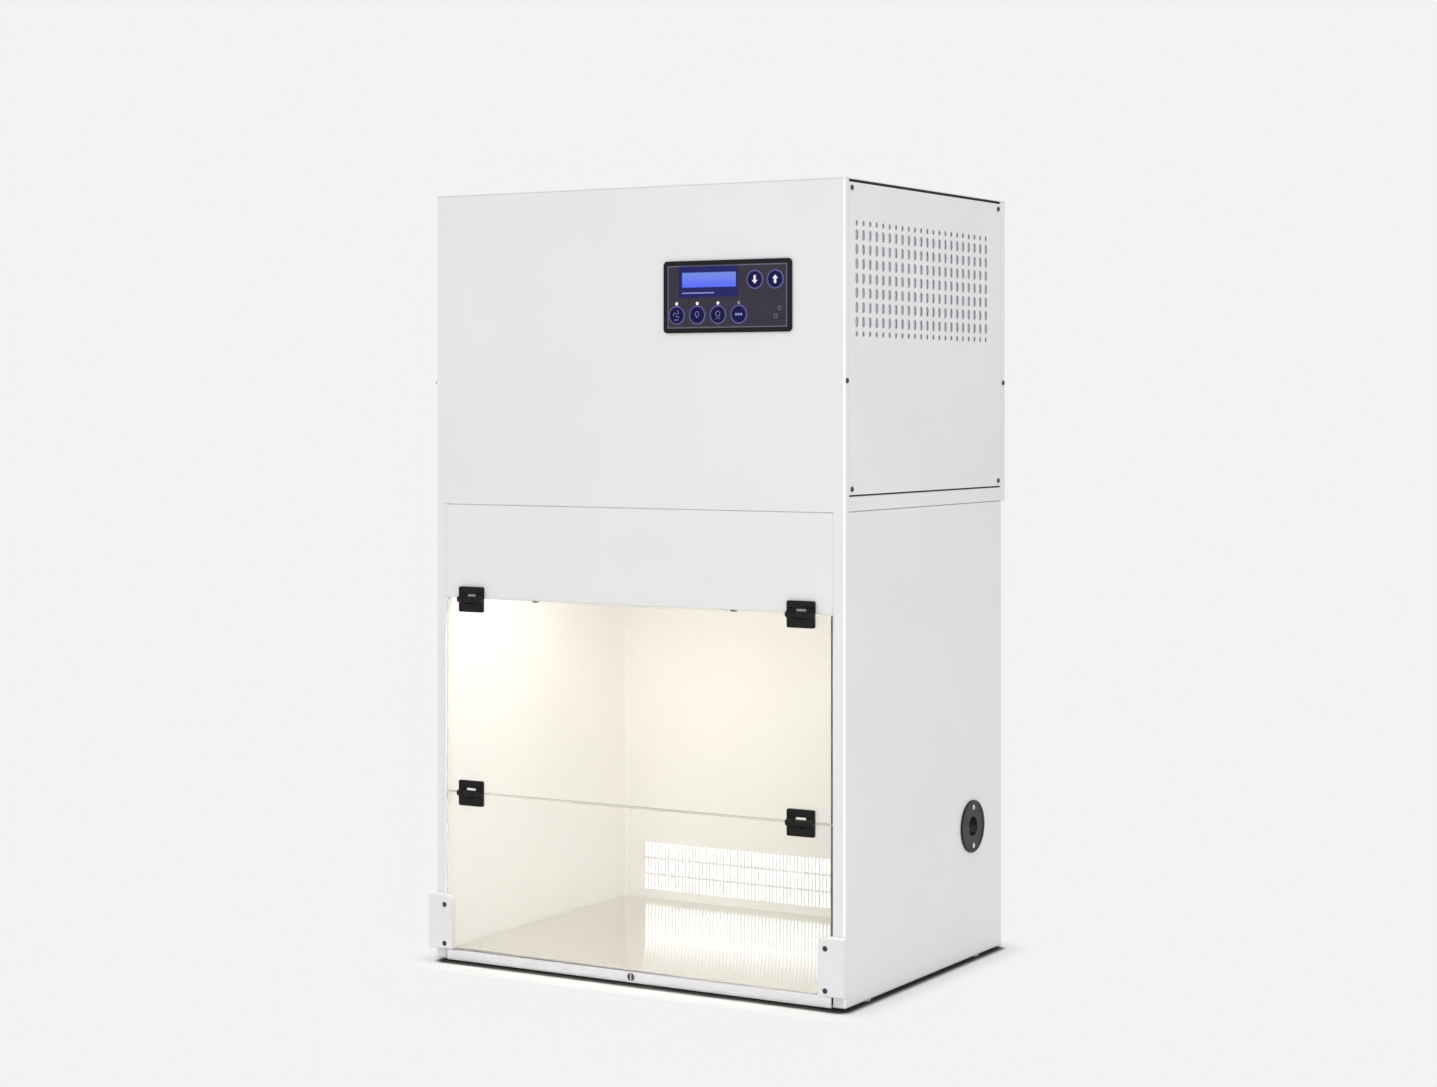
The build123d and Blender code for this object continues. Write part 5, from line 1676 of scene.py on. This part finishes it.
@dataclass
class SillLock:
    """Quarter-turn stud in the middle of the sill: slotted head, shank and cross-bar."""

    radius: float = 5.8 * MM
    slot: float = 3.0 * MM
    slot_depth: float = 0.9 * MM
    bevel: float = 0.6 * MM
    head: float = 1.8 * MM
    shank_radius: float = 2.5 * MM
    shank_bevel: float = 0.3 * MM
    bar: tuple[float, float, float] = (2.0 * MM, 8.0 * MM, 2.0 * MM)
    bar_corner: float = 0.4 * MM
    bar_edge: float = 0.3 * MM
    bar_behind: float = 5.5 * MM

    def build(self, finishes: Finishes) -> None:
        """Makes the head as two half discs beside the slot, with the shank and bar behind.

        The outline of a half disc is the greater of half the slot's width and the radius times the
        cosine, against the radius times the sine.

        Args:
            finishes: Finishes of the hood.
        """
        low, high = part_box("sill_lock_stud")
        centre = ((low.x + high.x) / 2, (low.z + high.z) / 2)
        seat = (centre[0], low.y + self.head, centre[1])
        base = self.head - self.slot_depth
        core = Surface()
        core.turned(np.array([(0, 0), (self.radius, 0), (self.radius, base), (0, base)]),
                    Facing.FRONT, seat, 48)
        cheeks = Surface()
        span = math.asin(self.slot / 2 / self.radius)
        turn = np.linspace(-math.pi / 2 + span, math.pi / 2 - span, 25)
        for side in (-1, 1):
            rings = []
            for inset, rise in ((0, base), (0, self.head - self.bevel), (self.bevel, self.head)):
                radius = self.radius - inset
                flat = np.column_stack([np.maximum(radius * np.cos(turn), self.slot / 2),
                                        radius * np.sin(turn)])
                flat[:, 0] *= side
                rings.append(np.column_stack([flat, np.full(len(flat), rise)]))
            points = Facing.FRONT.place(np.stack(rings), seat)
            cheeks.grid(points, close_columns=True)
            cheeks.cap(points[-1])
            cheeks.cap(points[0][::-1])
        shank = high.y - seat[1]
        core.turned(np.array([(0, 0), (self.shank_radius, 0),
                              (self.shank_radius, shank - self.shank_bevel),
                              (self.shank_radius - self.shank_bevel, shank), (0, shank)]),
                    Facing.REAR, seat, 24)
        width, height, depth = self.bar
        core.pad(width, height, self.bar_corner, depth, self.bar_edge, Facing.REAR,
                 (centre[0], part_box("front_sill")[0].y + self.bar_behind, centre[1]), steps=3)
        core.piece("lock_stud", "sill_lock", finishes.made["bright_steel"], "bright_metal",
                   ("sill_lock_stud",))
        cheeks.piece("lock_cheeks", "sill_lock", finishes.made["dark_steel"], "bright_metal")


@dataclass
class Chamber:
    """Work chamber: painted walls, brushed worktop and sill, feet, ceiling, lamps and sealing."""

    foot_radius: float = 13.0 * MM
    foot_edge: float = 1.2 * MM
    foot_taper: float = 0.4 * MM
    dimple: tuple[float, float, float] = (3.0 * MM, 3.6 * MM, 0.5 * MM)
    lamp_radius: float = 8.0 * MM
    cap_length: float = 7.0 * MM
    cap_edge: float = 0.5 * MM
    glass_step: float = 0.3 * MM
    lit_glow: tuple[Colour, float] = ((1.0, 0.945, 0.875), 53.0)
    dim_glow: tuple[Colour, float] = ((1.0, 0.945, 0.87), 6.0)
    bead_radius: float = 5.0 * MM
    bead_sink: float = 0.4 * MM
    strip: tuple[float, float] = (4.6 * MM, 1.5 * MM)
    strip_corner: float = 0.4 * MM
    strip_edge: float = 0.2 * MM
    strip_behind: float = 2.7 * MM
    strip_ends: float = 2.0 * MM

    def build(self, finishes: Finishes) -> None:
        """Dresses the walls and makes the feet, the lamps, the strips and the beads.

        Args:
            finishes: Finishes of the hood.
        """
        finishes.dress("white_paint", "side_wall_left", "side_wall_right", "header_panel")
        finishes.dress("chamber_paint", "side_liner_left", "side_liner_right", "ceiling_grille")
        # rear wall: paint that carries painted shade
        finishes.dress("rear_paint_painted_shade", "rear_wall")
        finishes.dress("brushed_worktop", "worktop")
        finishes.dress("brushed_sill", "front_sill")
        finishes.dress("zinc_sheet", "base_plate", "sill_lock_clip")
        finishes.dress("white_plastic", "lamp_holders")
        self.feet(finishes)
        self.lamps(finishes)
        self.header_seals(finishes)
        self.beads(finishes)

    def beads(self, finishes: Finishes) -> None:
        """Two hollow beads of sealant where the side liners meet the rear wall.

        The face of a bead is a quarter turn round a centre that stands off both walls by the
        bead's radius.

        Args:
            finishes: Finishes of the hood.
        """
        left, right = (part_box(f"side_liner_{side}") for side in ("left", "right"))
        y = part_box("rear_wall")[0].y
        foot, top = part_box("worktop")[1].z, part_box("ceiling_grille")[0].z
        turn = np.linspace(0, math.pi / 2, 7)
        size = self.bead_radius
        hollow = size - size * np.column_stack([np.sin(turn), np.cos(turn)])
        sunk = -self.bead_sink
        outline = np.concatenate([hollow, [[size, sunk], [sunk, sunk], [sunk, size]]])
        surface = Surface()
        for x, side in ((left[1].x, 1), (right[0].x, -1)):
            shape = outline * [side, -1]
            surface.prism(shape[::-side], top - foot, Facing.UP, (x, y, foot))
        surface.piece("corner_beads", "cabinet", finishes.made["chamber_paint"], "seal_rubber")

    def header_seals(self, finishes: Finishes) -> None:
        """Two strips behind the upright edges of the header, which keep the light in.

        Args:
            finishes: Finishes of the hood.
        """
        low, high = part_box("header_panel")
        width, depth = self.strip
        surface = Surface()
        for x in (low.x, high.x):
            surface.pad(width, high.z - low.z - self.strip_ends, self.strip_corner, depth,
                        self.strip_edge, Facing.FRONT,
                        (x, low.y + self.strip_behind, (low.z + high.z) / 2), steps=2)
        surface.piece("header_strips", "cabinet", finishes.made["clear_rubber"], "seal_rubber")

    def feet(self, finishes: Finishes) -> None:
        """Four turned pads with a rounded lower rim and a dimple underneath.

        Args:
            finishes: Finishes of the hood.
        """
        low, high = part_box("feet")
        height = high.z - low.z
        radius = self.foot_radius
        turn = np.linspace(0, math.pi / 2, 6)
        edge = self.foot_edge
        rim = np.column_stack([radius - edge + edge * np.sin(turn), edge * (1 - np.cos(turn))])
        floor, mouth, rise = self.dimple
        profile = np.concatenate([[[0, rise], [floor, rise], [mouth, 0]], rim,
                                  [[radius - self.foot_taper, height], [0, height]]])
        surface = Surface()
        for x in (low.x + radius, high.x - radius):
            for y in (low.y + radius, high.y - radius):
                surface.turned(profile, Facing.UP, (x, y, low.z), 40)
        surface.piece("foot_pads", "cabinet", finishes.made["foot_rubber"], "foot_rubber",
                      ("feet",))

    def lamps(self, finishes: Finishes) -> None:
        """Two tubes with metal end caps; the front one shines brighter.

        Args:
            finishes: Finishes of the hood.
        """
        low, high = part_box("lamp_tubes")
        half = (high.x - low.x) / 2
        z = (low.z + high.z) / 2
        cap = self.cap_length
        lit = finishes.add(GlowTube("lamp_lit", *self.lit_glow, half))
        dim = finishes.add(GlowTube("lamp_dim", *self.dim_glow, half))
        caps = Surface()
        radius, edge = self.lamp_radius, self.cap_edge
        for y, finish, name in ((low.y + radius, lit, "tube_front"),
                                (high.y - radius, dim, "tube_rear")):
            glass = Surface()
            neck = radius - self.glass_step
            profile = [(0, cap), (neck, cap), (neck, 2 * half - cap), (0, 2 * half - cap)]
            glass.turned(np.array(profile), Facing.RIGHT, (-half, y, z), 32)
            glass.piece(name, "cabinet", finishes.made[finish], "tube_glass", ("lamp_tubes",))
            for start in (0.0, 2 * half - cap):
                shell = [(0, 0), (radius - edge, 0), (radius, edge), (radius, cap - edge),
                         (radius - edge, cap), (0, cap)]
                caps.turned(np.array(shell), Facing.RIGHT, (-half + start, y, z), 32)
        caps.piece("tube_caps", "cabinet", finishes.made["mill_aluminium"], "tube_glass")


@dataclass
class Housing:
    """Fan housing: covers, posts, filter, blower and supply."""

    def build(self, finishes: Finishes) -> None:
        """Dresses every node of the housing.

        Args:
            finishes: Finishes of the hood.
        """
        finishes.dress("white_paint", "front_cover", "rear_cover", "top_cover",
                       "side_panel_left", "deck_rails")
        finishes.dress("zinc_sheet", "corner_posts", "plenum_box", "motor_bridge")
        finishes.dress("black_rubber", "panel_gaskets")
        finishes.dress("pre_filter_cloth", "pre_filter")
        finishes.dress("filter_paper", "filter_pack")
        finishes.dress("mill_aluminium", "filter_frame", "blower_wheel", "power_supply")
        finishes.dress("motor_enamel", "blower_motor")
        finishes.dress("board_lacquer", "control_board")
        finishes.dress("black_plastic", "mains_inlet")


@dataclass(frozen=True)
class SoftLamp:
    """Square soft lamp: its place, the point it looks at, its side and its power in watts."""

    name: str
    at: Point
    towards: Point
    size: float
    power: float

    def build(self) -> None:
        """Makes the lamp, which the camera doesn't see."""
        data = bpy.data.lights.new(self.name, "AREA")
        data.shape = "SQUARE"
        data.size = self.size
        data.energy = self.power
        made = bpy.data.objects.new(self.name, data)
        made.location = self.at
        made.rotation_mode = "QUATERNION"
        made.rotation_quaternion = (Vector(self.towards)
                                    - Vector(self.at)).to_track_quat("-Z", "Y")
        made.visible_camera = False
        bpy.context.scene.collection.objects.link(made)


@dataclass
class Studio:
    """Pale seamless floor, soft light from all round, a card behind the hood, and the camera."""

    pale: float = 0.896
    floor_albedo: float = 0.865
    dome: float = 0.94
    camera_at: Point = (2.089, -3.559, 0.843)
    camera_towards: Point = (-0.5075, 0.8616, 0.0)
    sensor: float = 36.0
    focal: float = 67.44
    horizon_shift: float = -0.0978
    floor_radii: tuple[float, ...] = (0.02, 0.3, 0.6, 1.0, 2.0, 5.0, 30.0)
    floor_grain: float = 0.004
    footprint: tuple[float, float] = (0.687, 0.52)
    # the footprint is set off towards the front and right, where the painted shadow lies thicker
    footprint_at: tuple[float, float] = (0.0065, -0.008)
    # core, contact and the dark tone: a painted shadow that darkens the floor's colour next to the
    # footprint
    core: float = 0.002
    contact: float = 0.016
    painted_shadow_tone: float = 0.07
    shadow_reach: tuple[float, float] = (0.010, 0.060)
    card_at: tuple[float, float, float] = (0.30, 0.34, 0.21)
    card_glow: float = 0.88
    card_tint: Colour = (0.93, 0.96, 1.0)
    card_shine: float = 1.4
    lamps: tuple[SoftLamp, ...] = (
        SoftLamp("soft_front", (-0.4, -3.2, 1.5), (0.0, 0.0, 0.6), 0.8, 6.5),
        SoftLamp("soft_side", (1.0, -1.1, 0.75), (0.3, -0.1, 0.7), 0.3, 1.1))

    def world(self) -> None:
        """Even dome of white light. The camera, reflections and glass see a pale grey instead."""
        world = bpy.data.worlds.new("studio_dome")
        bpy.context.scene.world = world
        world.use_nodes = True
        tree = world.node_tree
        tree.nodes.clear()
        kinds = ("OutputWorld", "Background", "Background", "LightPath", "MixShader")
        output, seen, light, path, mix = (tree.nodes.new(f"ShaderNode{kind}") for kind in kinds)
        seen.inputs[0].default_value = (self.pale, self.pale, self.pale, 1.0)
        light.inputs[0].default_value = (1.0, 1.0, 1.0, 1.0)
        light.inputs[1].default_value = self.dome
        looked = path.outputs["Is Camera Ray"]
        for ray in ("Is Glossy Ray", "Is Transmission Ray"):
            either = tree.nodes.new("ShaderNodeMath")
            either.operation = "MAXIMUM"
            tree.links.new(looked, either.inputs[0])
            tree.links.new(path.outputs[ray], either.inputs[1])
            looked = either.outputs[0]
        for source, target in zip((looked, light.outputs[0], seen.outputs[0]), mix.inputs):
            tree.links.new(source, target)
        tree.links.new(mix.outputs[0], output.inputs[0])

    def floor(self) -> None:
        """Round floor that takes the shadow near the hood and melts into the ground further out.

        Its points are each radius times the cosine and sine of the turn. Close to the footprint, a
        dark tone in its colour stands in for part of the shade under the hood.
        """
        turn = np.arange(96) * 2 * math.pi / 96
        radii = np.array(self.floor_radii)
        ring = np.stack([np.cos(turn), np.sin(turn), np.zeros_like(turn)], axis=-1)
        points = (radii[:, None, None] * ring[None]).reshape(-1, 3)
        surface = Surface()
        surface.grid(points.reshape(len(radii), len(turn), 3), close_columns=True)
        surface.cap(points[:96][::-1])
        mesh = bpy.data.meshes.new("floor")
        mesh.from_pydata(np.concatenate(surface.blocks).tolist(), [], surface.faces)
        graph = NodeGraph("floor_paper")
        axes = graph.axes()
        away = graph.rounded_box(axes[0], axes[1], self.footprint_at,
                                 self.footprint, 0.01)
        grain = graph.noise(graph.place, 300.0, 2.0)
        paper = graph.mixed(grain, *((self.floor_albedo + step,) * 3
                                     for step in (-self.floor_grain, self.floor_grain)))
        # painted shadow: the floor's colour turns dark next to the footprint
        painted_shadow_mask = graph.between(away, self.core, self.contact, 1.0, 0.0)
        paper = graph.mixed(painted_shadow_mask, paper, (self.pale * self.painted_shadow_tone,) * 3)
        matt = graph.shader(Base_Color=paper, Roughness=0.95, Specular_IOR_Level=0.1)
        glow = graph.node("ShaderNodeEmission")
        glow.inputs[0].default_value = (self.pale, self.pale, self.pale, 1.0)
        far = graph.between(away, *self.shadow_reach)
        path = graph.node("ShaderNodeLightPath")
        seen = graph.math("MAXIMUM", path.outputs["Is Camera Ray"],
                          graph.math("MAXIMUM", path.outputs["Is Glossy Ray"],
                                     path.outputs["Is Transmission Ray"]))
        mix = graph.node("ShaderNodeMixShader")
        graph.link(graph.math("MULTIPLY", far, seen), mix.inputs[0])
        graph.link(matt.outputs[0], mix.inputs[1])
        graph.link(glow.outputs[0], mix.inputs[2])
        graph.link(mix.outputs[0], graph.output.inputs["Surface"])
        mesh.materials.append(graph.material)
        made = bpy.data.objects.new("floor", mesh)
        bpy.context.scene.collection.objects.link(made)

    def card(self) -> None:
        """Bright card behind the hood. The camera and diffuse light don't see it.

        It shows through glass, and more strongly in reflections, so that the rear slots and their
        image in the worktop look bright.
        """
        y, half, top = self.card_at
        points = [(-half, y, 0), (half, y, 0), (half, y, top), (-half, y, top)]
        mesh = bpy.data.meshes.new("card")
        mesh.from_pydata(points, [], [(0, 1, 2, 3)])
        graph = NodeGraph("card_glow")
        path = graph.node("ShaderNodeLightPath")
        glow = graph.node("ShaderNodeEmission")
        graph.link(graph.mixed(path.outputs["Is Glossy Ray"], (1.0, 1.0, 1.0), self.card_tint),
                   glow.inputs[0])
        graph.link(graph.math("ADD", self.card_glow,
                              graph.math("MULTIPLY", path.outputs["Is Glossy Ray"],
                                         self.card_shine)), glow.inputs[1])
        graph.link(glow.outputs[0], graph.output.inputs["Surface"])
        mesh.materials.append(graph.material)
        made = bpy.data.objects.new("card", mesh)
        made.visible_camera = False
        made.visible_diffuse = False
        made.visible_shadow = False
        bpy.context.scene.collection.objects.link(made)

    def camera(self) -> None:
        """Level camera with a small downward shift."""
        data = bpy.data.cameras.new("camera")
        data.sensor_width = self.sensor
        data.lens = self.focal
        data.shift_y = self.horizon_shift
        made = bpy.data.objects.new("camera", data)
        made.location = self.camera_at
        made.rotation_mode = "QUATERNION"
        made.rotation_quaternion = Vector(self.camera_towards).to_track_quat("-Z", "Y")
        bpy.context.scene.collection.objects.link(made)
        bpy.context.scene.camera = made

    def build(self) -> None:
        """Sets up the studio."""
        bpy.context.scene.view_settings.view_transform = "Standard"
        self.world()
        self.floor()
        for lamp in self.lamps:
            lamp.build()
        self.card()
        self.camera()


def main() -> None:
    """Builds the studio and the hood."""
    logging.basicConfig(level=logging.INFO, format="%(name)s: %(message)s")
    Studio().build()
    finishes = Finishes()
    for part in (Chamber(), Housing(), IntakePanel(), Screws(), Window(), Hinges(), Keypad(),
                 CablePort(), SillLock()):
        part.build(finishes)


if __name__ == "__main__":
    main()
